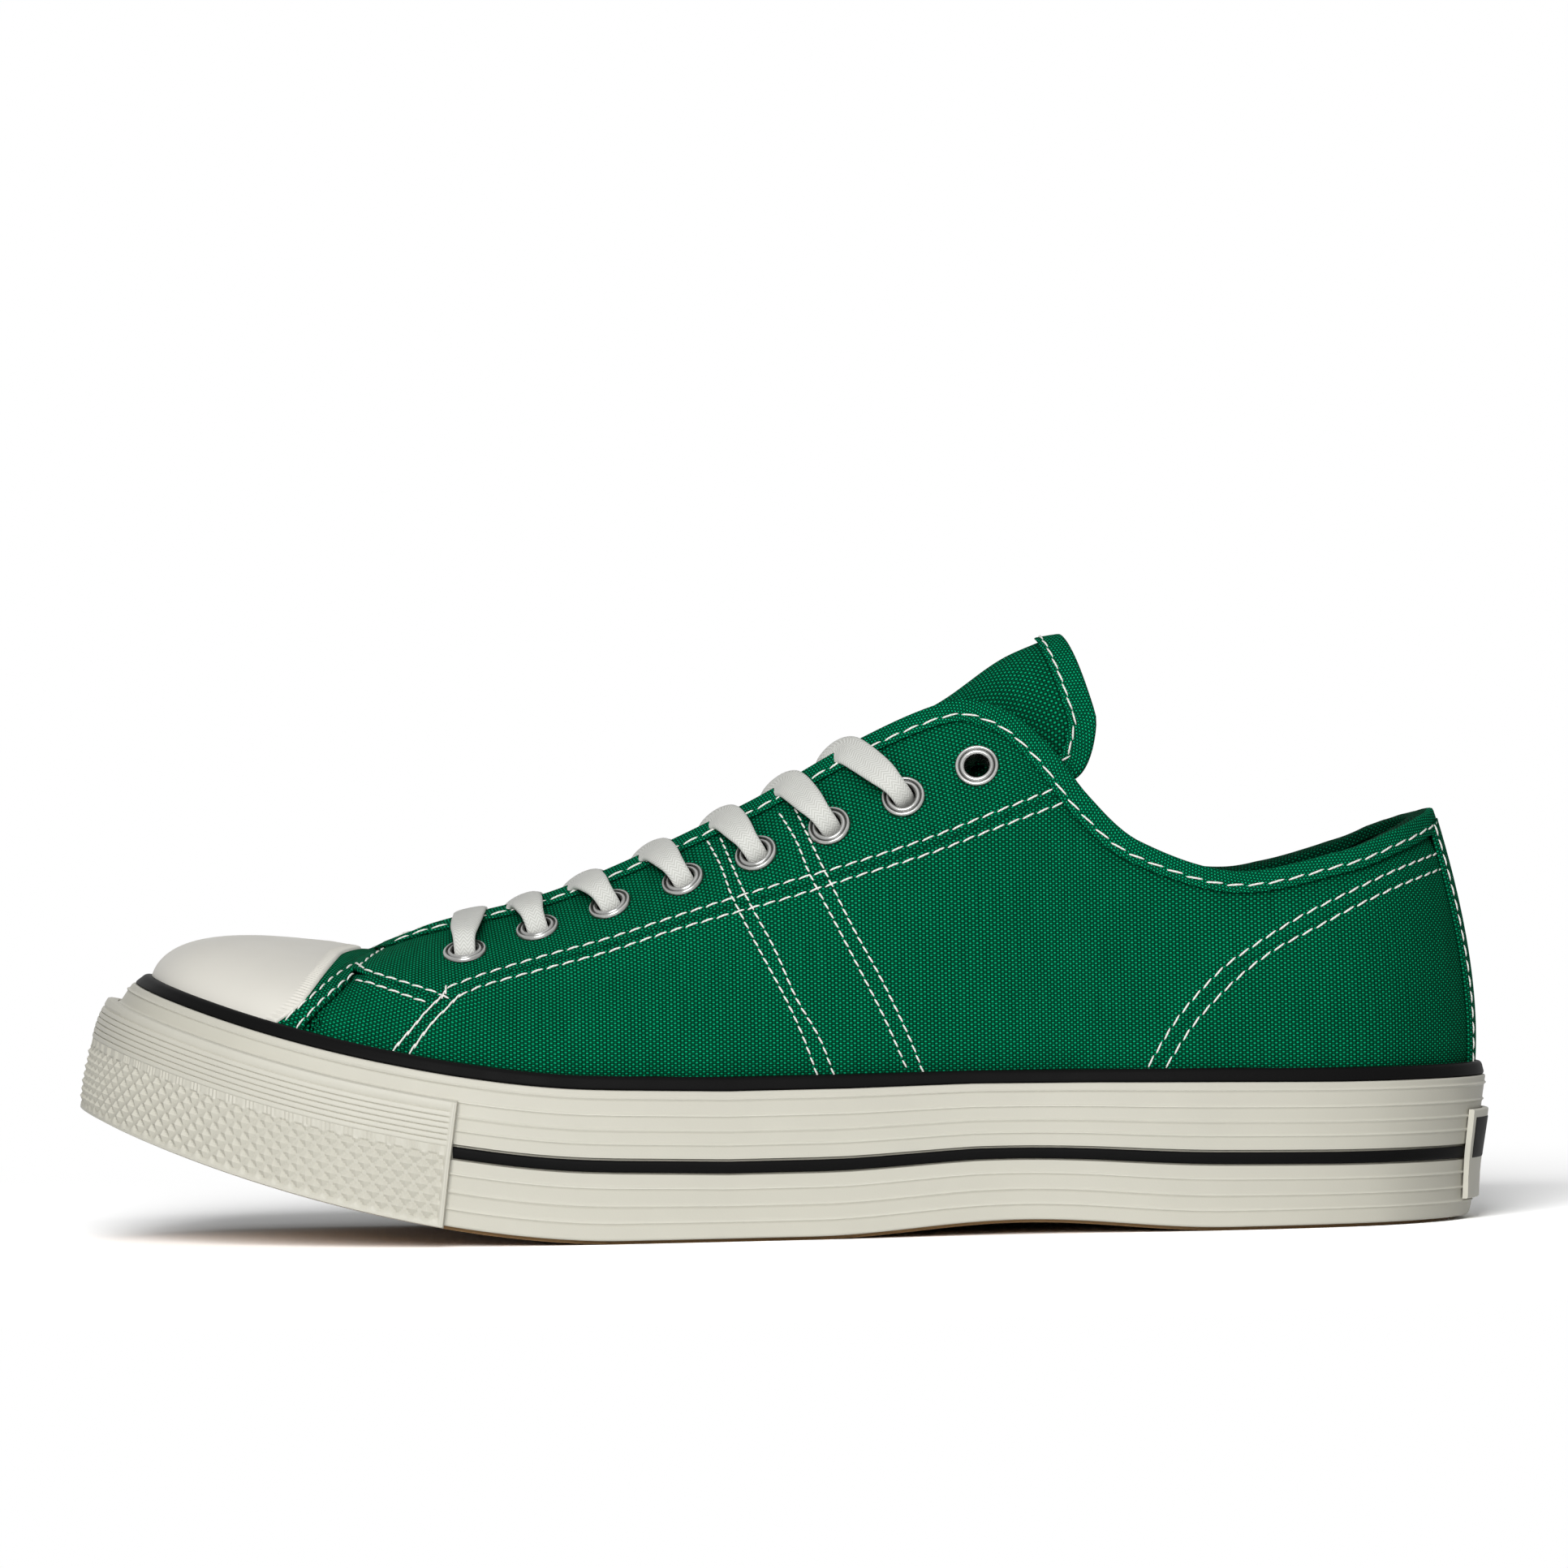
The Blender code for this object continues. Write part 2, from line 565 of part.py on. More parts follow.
def make_sole():
    snug = FOXING_INSIDE - SOLE_INSET
    inner = LINING_INSIDE - SOLE_INSET
    make_outsole(snug)
    plate("midsole", snug, 1, MIDSOLE_BASE, MIDSOLE_THICKNESS, GREY_FILLER)
    plate("insole_board", inner, 0, BOARD_BASE, BOARD_THICKNESS, GREY_FILLER)
    plate("insole", inner, 0, INSOLE_BASE, INSOLE_THICKNESS, WHITE_COTTON)


def band(name, loop, profile, finish, closed):
    """A rubber band round the sole: the profile is a closed list of (offset, height)."""
    rings = [[wall(side, q, offset, height) for offset, height in profile] for side, q in loop]
    return loft(name, rings, finish, closed)


def make_bands():
    inside, outside = FOXING_INSIDE, FOXING_OUTSIDE
    floor = outside + STRIPE_PROUD - STRIPE_THICKNESS - CLEARANCE
    low, high = STRIPE_BOTTOM - CLEARANCE, STRIPE_TOP + CLEARANCE
    profile = [(inside, FOXING_LIFT), (outside, FOXING_LIFT), (outside, low), (floor, low), (floor, high),
               (outside, high), (outside, BUMPER_HEIGHT), (outside, FOXING_HEIGHT), (inside, FOXING_HEIGHT),
               (inside, BUMPER_HEIGHT), (inside, high), (inside, low)]
    band("foxing", around(), profile, WHITE_RUBBER, True)
    base = FOXING_HEIGHT + CLEARANCE
    top = base + TOP_LINE_HEIGHT
    edge = inside + TOP_LINE_THICKNESS
    band("top_line", around(), [(inside, base), (edge, base), (edge, top), (inside, top)], BLACK_RUBBER, True)
    tab = heel_section(LABEL_HALF_WIDTH)
    stripe = sections_between(section_of(BUMPER_END_X + SEAM_GAP), heel_section(LABEL_HALF_WIDTH + SEAM_GAP))
    shape = [(floor + CLEARANCE, STRIPE_BOTTOM), (outside + STRIPE_PROUD, STRIPE_BOTTOM),
             (outside + STRIPE_PROUD, STRIPE_TOP), (floor + CLEARANCE, STRIPE_TOP)]
    for side, word in ((OUTER, "outer"), (INNER, "inner")):
        band(f"side_stripe_{word}", [(side, q) for q in stripe], shape, BLACK_RUBBER, False)
    back = sections_between(tab, CREST_END)
    loop = [(OUTER, q) for q in back] + [(INNER, q) for q in back[-2::-1]]
    inner, outer = outside + CLEARANCE, outside + CLEARANCE + LABEL_THICKNESS
    profile = [(inner, LABEL_BOTTOM), (outer, LABEL_BOTTOM), (outer, LABEL_TOP), (inner, LABEL_TOP)]
    band("heel_label", loop, profile, BLACK_RUBBER, False)


def bumper_sections():
    """Sections from the toe's middle to the bumper's end, half a pyramid apart along the wall."""
    fine = section_at_angle(np.linspace(0, angle_of(section_of(BUMPER_END_X)), 200))
    points = wall(OUTER, fine, FOXING_OUTSIDE, RIB_BOTTOM / 2)
    run = np.concatenate([[0], np.linalg.norm(np.diff(points, axis=0), axis=1).cumsum()])
    count = round(run[-1] / (PYRAMID_WIDTH / 2))
    return np.interp(np.linspace(0, run[-1], count + 1), run, fine)


def make_bumper():
    """The patterned strip round the toe: rows of pyramids below, ribs above them, then a plain lip."""
    inner = FOXING_OUTSIDE + 1.5 * CLEARANCE
    outer = inner + BUMPER_THICKNESS
    heights = np.linspace(RIB_BOTTOM, RIB_TOP, 2 * RIB_COUNT + 1)
    ribs = [(outer - RIB_DEPTH * (row % 2 == 0), height) for row, height in enumerate(heights)]
    front = bumper_sections()
    loop = [(INNER, q) for q in front[:0:-1]] + [(OUTER, q) for q in front]
    rings, valleys = [], []
    for k, (side, q) in enumerate(loop):
        peaks = [row % 2 != k % 2 and 0 < row < PYRAMID_ROWS for row in range(PYRAMID_ROWS + 1)]
        pyramids = [(outer - PYRAMID_SINK + PYRAMID_PROUD * peak, PYRAMID_BOTTOM + row * PYRAMID_ROW)
                    for row, peak in enumerate(peaks)]
        start = [(inner, BUMPER_LIFT), (outer, BUMPER_LIFT)]
        finish = [(outer, BUMPER_HEIGHT), (inner, BUMPER_HEIGHT), (inner, STRIPE_BOTTOM)]
        profile = [*start, *pyramids, *ribs, *finish]
        rings.append([wall(side, q, offset, height) for offset, height in profile])
        valleys += [(k, len(start) + row) for row, peak in enumerate(peaks) if not peak]
    loft("toe_bumper", rings, WHITE_RUBBER, creased=valleys)


def section_of(x):
    """Section whose foot stands at x on the outer side."""
    lines = np.linspace(CREST_START, CREST_END, 2000)
    return np.interp(x, sole_edge(OUTER, lines)[0][:, 0], lines)


def heel_section(half_width):
    """Section whose foot stands half_width to the outer side of the heel's middle."""
    lines = np.linspace(HEEL_FAN_FROM, CREST_END, 4000)
    return np.interp(-half_width, sole_edge(OUTER, lines)[0][:, 1], lines)


# Upper
def wall_climbs(low, high=1.0, rows=WALL_ROWS):
    """Climbs from the tucked-in foot of the wall up to its top."""
    return np.concatenate([[low], np.linspace(0, high, rows + 1)])


def over_the_toe(name, ends, climbs, offset, thickness, finish):
    """A panel that wraps the toe from the inner side round to the outer side and closes along the crest.
    ends gives the last section of each climb."""
    front = sections_between(CREST_START, float(np.min(ends)))
    span = [np.where(q >= front[-1] - 1e-9, ends, q) for q in front]
    rows = [surface(INNER, row, climbs, offset) for row in span[:0:-1]]
    rows += [surface(OUTER, row, climbs, offset) for row in span]
    points = np.array(rows)
    weld_crest(points, len(span))
    return shell(name, points, thickness, finish)


def weld_crest(points, count):
    """Brings the two sides of a panel together on the crest, ahead of the throat."""
    for k in range(count):
        inner, outer = count - 1 - k, count - 1 + k
        if np.linalg.norm(points[inner, -1] - points[outer, -1]) < CREST_WELD:
            middle = (points[inner, -1] + points[outer, -1]) / 2
            points[inner, -1] = points[outer, -1] = middle


def across_the_top(name, start, end, low, offset, thickness, finish):
    """A strip that runs from the outer foot of the wall over the crest to the inner foot."""
    climbs = wall_climbs(low)
    rows = []
    for q in (start, (start + end) / 2, end):
        outer = surface(OUTER, q, climbs, offset)
        inner = surface(INNER, q, climbs[:-1], offset)[::-1]
        rows.append(np.concatenate([outer, inner]))
    return shell(name, np.array(rows), thickness, finish)


def side_panel(name, side, start, end, low, high, offset, thickness, finish):
    """A panel of one side between two sections. low and high give its climbs by section."""
    sections = sections_between(start, end)
    rows = [surface(side, q, np.linspace(low(q), high(q), WALL_ROWS // 2 + 2), offset) for q in sections]
    return shell(name, np.array(rows), thickness, finish)


def quarter_rows(side, starts, end, climbs, offset):
    """Rows of a quarter, from its seam with the vamp, given by climb, back to the heel."""
    sections = sections_between(float(np.max(starts)) + SECTION_APART, end)
    lines = [starts] + [np.full(len(climbs), q) for q in sections]
    return np.array([surface(side, row, climbs, offset) for row in lines])


def make_upper():
    tuck = -FACING_TUCK / SKIRT_DEPTH
    climbs = wall_climbs(-1)
    vamp_seam = seam(VAMP_SEAM)
    facing_seam = seam(FACING_SEAM)
    counter_seam = seam(COUNTER_SEAM)
    seam_line = section_at(vamp_seam, climbs)
    heel_end = heel_section(SEAM_GAP / 2)

    over_the_toe("vamp", seam_line, climbs, 0.0, CANVAS_THICKNESS, GREEN_CANVAS)
    over_the_toe("vamp_lining", seam_line, climbs, LINING_OUTSIDE, LINING_THICKNESS, GREEN_CANVAS)
    cap = wall_climbs(tuck)
    over_the_toe("toe_cap", np.full(len(cap), CAP_EDGE_X), cap, CAP_OUTSIDE, CAP_THICKNESS, WHITE_RUBBER)
    across_the_top("toe_band", CAP_EDGE_X + SEAM_GAP, THROAT_X - SEAM_GAP, tuck,
                   FACING_OUTSIDE, FACING_THICKNESS, GREEN_CANVAS)
    holes = {side: eyelet_holes(side) for side in (OUTER, INNER)}
    for side, word in ((OUTER, "outer"), (INNER, "inner")):
        quarter = shell(f"quarter_{word}", quarter_rows(side, seam_line + SEAM_GAP, heel_end, climbs, 0.0),
                        CANVAS_THICKNESS, GREEN_CANVAS)
        lining = shell(f"quarter_lining_{word}",
                       quarter_rows(side, seam_line + SEAM_GAP, heel_end, climbs, LINING_OUTSIDE),
                       LINING_THICKNESS, GREEN_CANVAS)
        facing = side_panel(f"eyestay_{word}", side, THROAT_X, FACING_SEAM[-1][0],
                            lambda q: climb_at(facing_seam, q), lambda q: 1.0,
                            FACING_OUTSIDE, FACING_THICKNESS, GREEN_CANVAS)
        strap = make_strap(word, side)
        for sheet in (quarter, lining, facing, strap):
            cut(sheet, holes[side])
        side_panel(f"heel_counter_{word}", side, section_of(COUNTER_SEAM[0][0]),
                   heel_section(BACKSTAY_HALF_WIDTH + SEAM_GAP), lambda q: tuck,
                   lambda q: climb_at(counter_seam, q), FACING_OUTSIDE, FACING_THICKNESS, GREEN_CANVAS)
    make_heel(tuck)


def make_strap(word, side):
    """The saddle strap between canvas and lining, from the lacing edge down to the sole."""
    front, rear = seam(STRAP_FRONT), seam(STRAP_REAR)
    climbs = np.concatenate([[STRAP_CLIMB[0]], np.arange(1, WALL_ROWS) / WALL_ROWS, [STRAP_CLIMB[1]]])
    start, end = section_at(front, climbs), section_at(rear, climbs)
    rows = [surface(side, start + (end - start) * s, climbs, STRAP_OUTSIDE) for s in (0, 0.5, 1)]
    return shell(f"saddle_strap_{word}", np.array(rows), STRAP_THICKNESS, WHITE_COTTON)


def wrap_heel(start, low, high, offset, rows):
    back = sections_between(start, CREST_END)
    climbs = np.linspace(low, high, rows)
    return np.array([surface(OUTER, q, climbs, offset) for q in back]
                    + [surface(INNER, q, climbs, offset) for q in back[-2::-1]])


def make_heel(tuck):
    wall_height = TOP_EDGE[-1][2] - FOXING_HEIGHT
    top = 1 - (BINDING_OUTER_WIDTH + SEAM_GAP) / wall_height
    shell("backstay", wrap_heel(heel_section(BACKSTAY_HALF_WIDTH), tuck, top, FACING_OUTSIDE, WALL_ROWS + 1),
          FACING_THICKNESS, GREEN_CANVAS)
    rows = wrap_heel(section_of(STIFFENER_FROM_X), tuck, STIFFENER_HEIGHT / wall_height, STRAP_OUTSIDE, 5)
    shell("heel_stiffener", rows, STRAP_THICKNESS, GREY_FILLER)


def binding_frames():
    """The closed line of the top edge with the outward normal and the direction away from the cloth."""
    lines = SECTION_LINES[SECTION_LINES >= THROAT_X - 1e-9]
    loop = [(OUTER, q) for q in lines] + [(INNER, q) for q in lines[-2:0:-1]]
    path = np.array([bare_surface(side, q, 1.0) for side, q in loop])
    normal = np.array([surface_normal(side, q, 1.0) for side, q in loop])
    normal[0] = (normal[1] + normal[-1]) / 2
    along = np.roll(path, -1, 0) - np.roll(path, 1, 0)
    beyond = np.cross(normal, along)
    beyond /= np.linalg.norm(beyond, axis=1)[:, None]
    return path, normal, beyond


def channel(path, normal, beyond, face, back, outer_width, inner_width):
    """Rings of a tape folded over an edge. face and back are the levels of the sheets that it holds, and the
    widths are those of its two flaps; each may change along the edge."""
    t, gap = BINDING_THICKNESS, CLEARANCE
    rings = []
    for k, point in enumerate(path):
        top, low, wide, deep = face[k] + gap, back[k] - gap, outer_width[k], inner_width[k]
        middle = (top + low) / 2
        inside = [(-wide, top + gap), (gap, top), (2 * gap, middle), (gap, low), (-deep, low - gap)]
        outside = [(-deep, low - gap - t), (gap + t, low - t), (2 * gap + t, middle), (gap + t, top + t),
                   (-wide, top + gap + t)]
        shape = inside + outside
        rings.append([point + beyond[k] * reach + normal[k] * height for reach, height in shape])
    return rings


def make_binding():
    path, normal, beyond = binding_frames()
    on_facing = np.clip((FACING_SEAM[-1][0] + FACING_RAMP - path[:, 0]) / FACING_RAMP, 0, 1)
    near, far = THROAT_BLEND
    at_throat = np.clip((THROAT_X + far - path[:, 0]) / (far - near), 0, 1)
    face = on_facing * FACING_OUTSIDE + at_throat * CLEARANCE
    back = np.full(len(path), LINING_INSIDE)
    outer_width = BINDING_OUTER_WIDTH + (THROAT_FLAP - BINDING_OUTER_WIDTH) * at_throat
    inner_width = np.full(len(path), BINDING_INNER_WIDTH)
    rings = channel(path, normal, beyond, face, back, outer_width, inner_width)
    loft("collar_binding", rings, GREEN_CANVAS, closed=True)


# Eyelets and lace
def eyelet_places():
    share = np.linspace(0, 1, EYELET_COUNT)
    x = EYELET_FIRST[0] + (EYELET_LAST[0] - EYELET_FIRST[0]) * share
    z = EYELET_FIRST[1] + (EYELET_LAST[1] - EYELET_FIRST[1]) * share
    return locate(OUTER, x, z - 4 * EYELET_ROW_SAG * share * (1 - share))


EYELET_Q, EYELET_V = eyelet_places()


def eyelet_frame(side, k):
    centre = bare_surface(side, EYELET_Q[k], EYELET_V[k])
    normal = surface_normal(side, EYELET_Q[k], EYELET_V[k])
    turn = Vector(normal).to_track_quat("Z", "Y").to_matrix().to_4x4()
    return Matrix.Translation(Vector(centre)) @ turn, centre, normal


def eyelet_holes(side):
    """One cutter with a plug for every eyelet barrel of a side."""
    bm = bmesh.new()
    radius, depth = EYELET_BORE / 2 + EYELET_WALL + CLEARANCE, 3 * (FACING_OUTSIDE - LINING_INSIDE)
    for k in range(EYELET_COUNT):
        bmesh.ops.create_cone(bm, cap_ends=True, segments=EYELET_STEPS, radius1=radius, radius2=radius,
                              depth=depth, matrix=eyelet_frame(side, k)[0])
    mesh = bpy.data.meshes.new("eyelet_holes")
    bm.to_mesh(mesh)
    bm.free()
    cutter = place(f"eyelet_holes_{'outer' if side == OUTER else 'inner'}", mesh, BRIGHT_METAL, CUTTERS)
    cutter.hide_render = True
    cutter.display_type = "WIRE"
    return cutter


def make_eyelets():
    bore, barrel = EYELET_BORE / 2, EYELET_BORE / 2 + EYELET_WALL
    seat = FACING_OUTSIDE + CLEARANCE
    top = seat + EYELET_FLANGE_HEIGHT
    back = LINING_INSIDE - EYELET_BACK_SEAT
    outline = [(bore, top), (EYELET_FLANGE / 2 - EYELET_WALL, top), (EYELET_FLANGE / 2, seat), (barrel, seat),
               (barrel, back), (EYELET_BACK / 2, back), (bore, back - EYELET_WALL)]
    bm = bmesh.new()
    ring = [bm.verts.new((radius, 0, height)) for radius, height in outline]
    for a, b in zip(ring, ring[1:] + ring[:1]):
        bm.edges.new((a, b))
    mesh = bpy.data.meshes.new("eyelet")
    bm.to_mesh(mesh)
    bm.free()
    for side, word in ((OUTER, "outer"), (INNER, "inner")):
        for k in range(EYELET_COUNT):
            eyelet = place(f"eyelet_{word}_{k + 1}", mesh.copy(), BRIGHT_METAL)
            eyelet.matrix_world = eyelet_frame(side, k)[0]
            turned = eyelet.modifiers.new("turn", "SCREW")
            turned.steps = turned.render_steps = EYELET_STEPS
            turned.use_merge_vertices = True
            turned.merge_threshold = 0.00001
            turned.use_smooth_shade = True


class LaceRoute:
    """The lace's centre line, with the way its flat face looks and its size at each point."""

    def __init__(self):
        self.points, self.flats, self.sizes = [], [], []
        self.face = 1

    def add(self, point, flat, bunched=0.0):
        self.points.append(np.array(point, float))
        self.flats.append(np.array(flat, float) * self.face)
        open_size = np.array([LACE_WIDTH, LACE_THICKNESS])
        drawn_size = np.array([LACE_BUNCH_WIDTH, LACE_BUNCH_THICKNESS])
        self.sizes.append((open_size + (drawn_size - open_size) * bunched) / 2)

    def through_eyelet(self, side, k, towards, back_towards):
        """In from the outer face, down the bore and back under the eyestay."""
        _, centre, normal = eyelet_frame(side, k)
        seat = FACING_OUTSIDE + CLEARANCE + EYELET_FLANGE_HEIGHT + CLEARANCE + LACE_BUNCH_THICKNESS / 2
        under = LINING_INSIDE - EYELET_BACK_SEAT - EYELET_WALL - CLEARANCE - LACE_BUNCH_THICKNESS / 2
        come = unit(towards - centre - normal * np.dot(towards - centre, normal))
        leave = unit(back_towards - centre - normal * np.dot(back_towards - centre, normal))
        flange, bore, half = EYELET_FLANGE / 2, EYELET_BORE / 2, LACE_BUNCH_THICKNESS / 2
        self.add(centre + come * (flange + 2 * half) + normal * (seat + CLEARANCE), normal, 0.35)
        self.add(centre + come * (flange - half) + normal * (seat + CLEARANCE), normal, 0.8)
        self.add(centre + come * bore / 2 + normal * (seat - half), unit(normal - come), 1)
        self.add(centre + normal * (seat - bore - half / 2), -come, 1)
        self.add(centre + normal * (under + bore), -come, 1)
        self.face = -self.face
        self.add(centre + leave * bore * 0.4 + normal * (under + half / 2), unit(normal + leave), 1)
        self.add(centre + leave * (bore + half) + normal * under, normal, 0.9)
        self.add(centre + leave * (flange + half) + normal * (under + CLEARANCE / 2), normal, 0.6)


def unit(vector):
    return vector / np.linalg.norm(vector)


def edge_point(side, q, height, inward=0.0):
    """A point over or under the lacing edge, moved towards the middle of the gap."""
    point = surface(side, q, 1.0, height)
    return point + np.array([0, -side * inward, 0])


def strand(side, up):
    """Key points of one strand: in at its first eyelet, then side to side up to the last laced eyelet."""
    route = LaceRoute()
    over = FACING_OUTSIDE + BINDING_THICKNESS + 2 * CLEARANCE + LACE_THICKNESS / 2
    below = LINING_INSIDE - BINDING_THICKNESS - 2 * CLEARANCE - LACE_THICKNESS / 2
    here = side
    for k in range(LACED_COUNT):
        q = EYELET_Q[k]
        step = EYELET_Q[min(k + 1, LACED_COUNT - 1)] - EYELET_Q[min(k, LACED_COUNT - 2)]
        before = EYELET_Q[k - 1] if k else q
        over_edge = edge_point(here, before + (q - before) * LACE_SLANT[k], over + CLEARANCE)
        last = k == LACED_COUNT - 1
        under_edge = edge_point(here, q + step * LACE_RISE, below)
        tail = surface(here, q + step * 0.1, EYELET_V[k] - 0.35, LINING_INSIDE)
        route.add(over_edge, surface_normal(here, q, 1.0), 0.0)
        route.through_eyelet(here, k, over_edge, tail if last else under_edge)
        if last:
            add_tail(route, here, k)
            break
        ahead = EYELET_Q[k + 1] - q
        route.add(under_edge, surface_normal(here, q, 1.0), 0.1)
        end = LACE_SLANT[k + 1]
        leave = edge_point(here, q + ahead * (LACE_RISE + 0.15 * end), below + LACE_THICKNESS / 2,
                           LACE_WIDTH * 0.4)
        arrive = edge_point(-here, q + ahead * 0.85 * end, over + LACE_ARCH, LACE_WIDTH * 0.2)
        half_way = q + ahead * (LACE_RISE + end) / 2
        middle = (edge_point(here, half_way, 0.0) + edge_point(-here, half_way, 0.0)) / 2
        route.add(leave, (0, 0, 1), 0.0)
        lift = up * LACE_CROSS_LIFT + LACE_ARCH - LACE_THICKNESS / 2
        route.add(middle + np.array([0, 0, lift]), (0, 0, 1), 0.0)
        route.add(arrive, surface_normal(-here, q, 1.0), 0.0)
        here = -here
    return route


def add_tail(route, side, k):
    """The lace's end, tucked down between the lining and the tongue."""
    q = EYELET_Q[k]
    offset = LINING_INSIDE - 2 * CLEARANCE - LACE_THICKNESS / 2
    wall_height = bare_surface(OUTER, q, 1.0)[2] - FOXING_HEIGHT
    start = EYELET_V[k] - 1.3 * EYELET_FLANGE / wall_height
    for share in (0, 1 / 3, 2 / 3, 1):
        v = start - share * LACE_TAIL_DROP / wall_height
        bunched = 0.3 if share < 1 else 0.8
        route.add(surface(side, q, v, offset - share * LACE_TAIL_INSET), surface_normal(side, q, v), bunched)


def lace_rings(points, flats, sizes):
    rings = []
    for point, flat, size, tangent in zip(points, flats, sizes, np.gradient(points, axis=0)):
        tangent = unit(tangent)
        flat = unit(flat - tangent * np.dot(flat, tangent))
        side = np.cross(tangent, flat)
        turns = 2 * math.pi * (np.arange(LACE_SIDES) + 0.5 * (LACE_SIDES % 4 == 2)) / LACE_SIDES
        rings.append([point + side * size[0] * math.cos(a) + flat * size[1] * math.sin(a) for a in turns])
    return rings


def make_lace():
    rising, falling = strand(OUTER, 1), strand(INNER, -1)
    bar = LaceRoute()
    middle = (rising.points[0] + falling.points[0]) / 2 + np.array([0, 0, LACE_ARCH])
    bar.add(middle, (0, 0, 1))
    points = np.array(falling.points[::-1] + bar.points + rising.points)
    flats = np.array(falling.flats[::-1] + bar.flats + rising.flats)
    sizes = np.array(falling.sizes[::-1] + bar.sizes + rising.sizes)
    loft("lace", lace_rings(points, flats, sizes), WHITE_COTTON)
    for word, end, before in (("inner", points[0], points[1]), ("outer", points[-1], points[-2])):
        make_aglet(word, end, unit(end - before))
    print("lace length", round(float(np.linalg.norm(np.diff(points, axis=0), axis=1).sum()), 4))


def make_aglet(word, end, direction):
    bm = bmesh.new()
    middle = end + direction * (CLEARANCE + AGLET_LENGTH / 2)
    turn = Vector(direction).to_track_quat("Z", "Y").to_matrix().to_4x4()
    bmesh.ops.create_cone(bm, cap_ends=True, segments=EYELET_STEPS, radius1=AGLET_DIAMETER / 2,
                          radius2=AGLET_DIAMETER * 0.4, depth=AGLET_LENGTH,
                          matrix=Matrix.Translation(Vector(middle)) @ turn)
    mesh = bpy.data.meshes.new("aglet")
    bm.to_mesh(mesh)
    bm.free()
    smooth(mesh)
    place(f"lace_tip_{word}", mesh, CLEAR_TIP)


# Tongue
def tongue_line():
    """The tongue's crest as (x, z): under the lacing edge from its root, then free at its end."""
    edge = through(TOP_EDGE, 24)
    tucked = [(x, np.interp(x, edge[:, 0], edge[:, 2]) - TONGUE_DEPTH) for x in TONGUE_TUCKED]
    return [(TONGUE_ROOT_X, THROAT_Z - TONGUE_ROOT_DEPTH), *tucked, *TONGUE_END]


TONGUE_LINE = tongue_line()


def tongue_point(x, w):
    """Point of the tongue's outer face at x along it and w across it, from -1 at its outer edge to 1."""
    x, w = np.broadcast_arrays(np.asarray(x, float), np.asarray(w, float))
    bend = w * TONGUE_BEND
    droop = 1 - np.cos(bend)
    lean = TONGUE_END_LEAN * np.clip((x - THROAT_X) / (TONGUE_LINE[-1][0] - THROAT_X), 0, 1)
    y = crest_side(x) + value_along(TONGUE_HALF_WIDTH, x) * np.sin(bend)
    z = value_along(TONGUE_LINE, x) - value_along(TONGUE_DROP, x) * droop
    return np.stack([x + lean * droop**TONGUE_LEAN_POWER, y, z], -1)


def tongue_across(x):
    """The share of the width that the tongue keeps at x: its end has round corners."""
    left = np.clip((TONGUE_LINE[-1][0] - x) / TONGUE_CORNER, 0, 1)
    return 1 - TONGUE_CORNER_SHARE * (1 - np.sqrt(np.clip(left * (2 - left), 0, 1)))


def tongue_edge():
    """The end edge of the tongue from its outer to its inner side, as places along and across it."""
    end = TONGUE_LINE[-1][0]
    turn = np.radians([0, 30, 60])
    corner = end - TONGUE_CORNER * (1 - np.sin(turn))
    x = np.concatenate([[end - 2 * TONGUE_CORNER, end - 1.5 * TONGUE_CORNER], corner])
    w = np.concatenate([[1, 1], 1 - TONGUE_CORNER_SHARE * (1 - np.cos(turn))])
    flat = np.linspace(-1, 1, TONGUE_COLUMNS) * (1 - TONGUE_CORNER_SHARE)
    return np.concatenate([x, np.full(TONGUE_COLUMNS, end), x[::-1]]), np.concatenate([-w, flat, w[::-1]])


def make_tongue():
    end = TONGUE_LINE[-1][0]
    xs = TONGUE_ROOT_X + (end - TONGUE_ROOT_X) * (1 - np.linspace(1, 0, 14) ** 1.6)
    across = np.linspace(-1, 1, TONGUE_COLUMNS)
    rows = np.array([tongue_point(x, across * tongue_across(x)) for x in xs])
    tongue = shell("tongue", rows, TONGUE_THICKNESS, GREEN_CANVAS)
    x, w = tongue_edge()
    path = tongue_point(x, w)
    along = tongue_point(x + 0.0005, w) - tongue_point(x - 0.0005, w)
    normal = np.cross(along, tongue_point(x, w + 0.01) - tongue_point(x, w - 0.01))
    normal /= np.linalg.norm(normal, axis=1)[:, None]
    beyond = np.cross(np.gradient(path, axis=0), normal)
    beyond /= np.linalg.norm(beyond, axis=1)[:, None]
    level, width = np.zeros(len(x)), np.full(len(x), TONGUE_BINDING_WIDTH)
    rings = channel(path, normal, beyond, level, level - TONGUE_THICKNESS - 2 * CLEARANCE, width, width)
    binding = loft("tongue_binding", rings, GREEN_CANVAS)
    hang_on_root(tongue, binding)


def hang_on_root(*pieces):
    """Parents the tongue's pieces to an empty on the line where the tongue is sewn down and bends."""
    root = bpy.data.objects.new("tongue_root", None)
    PARTS.objects.link(root)
    root.location = (TONGUE_ROOT_X, crest_side(TONGUE_ROOT_X), TONGUE_LINE[0][1] - TONGUE_THICKNESS / 2)
    for piece in pieces:
        piece.parent = root
        piece.matrix_parent_inverse = Matrix.Translation(root.location).inverted()
    print("tongue root", *(round(value, 5) for value in root.location))


def main():
    make_sole()
    make_bands()
    make_bumper()
    make_upper()
    make_binding()
    make_eyelets()
    make_lace()
    make_tongue()


main()
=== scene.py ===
import json
import math

import bmesh
import bpy
import numpy as np
from mathutils import Matrix, Vector

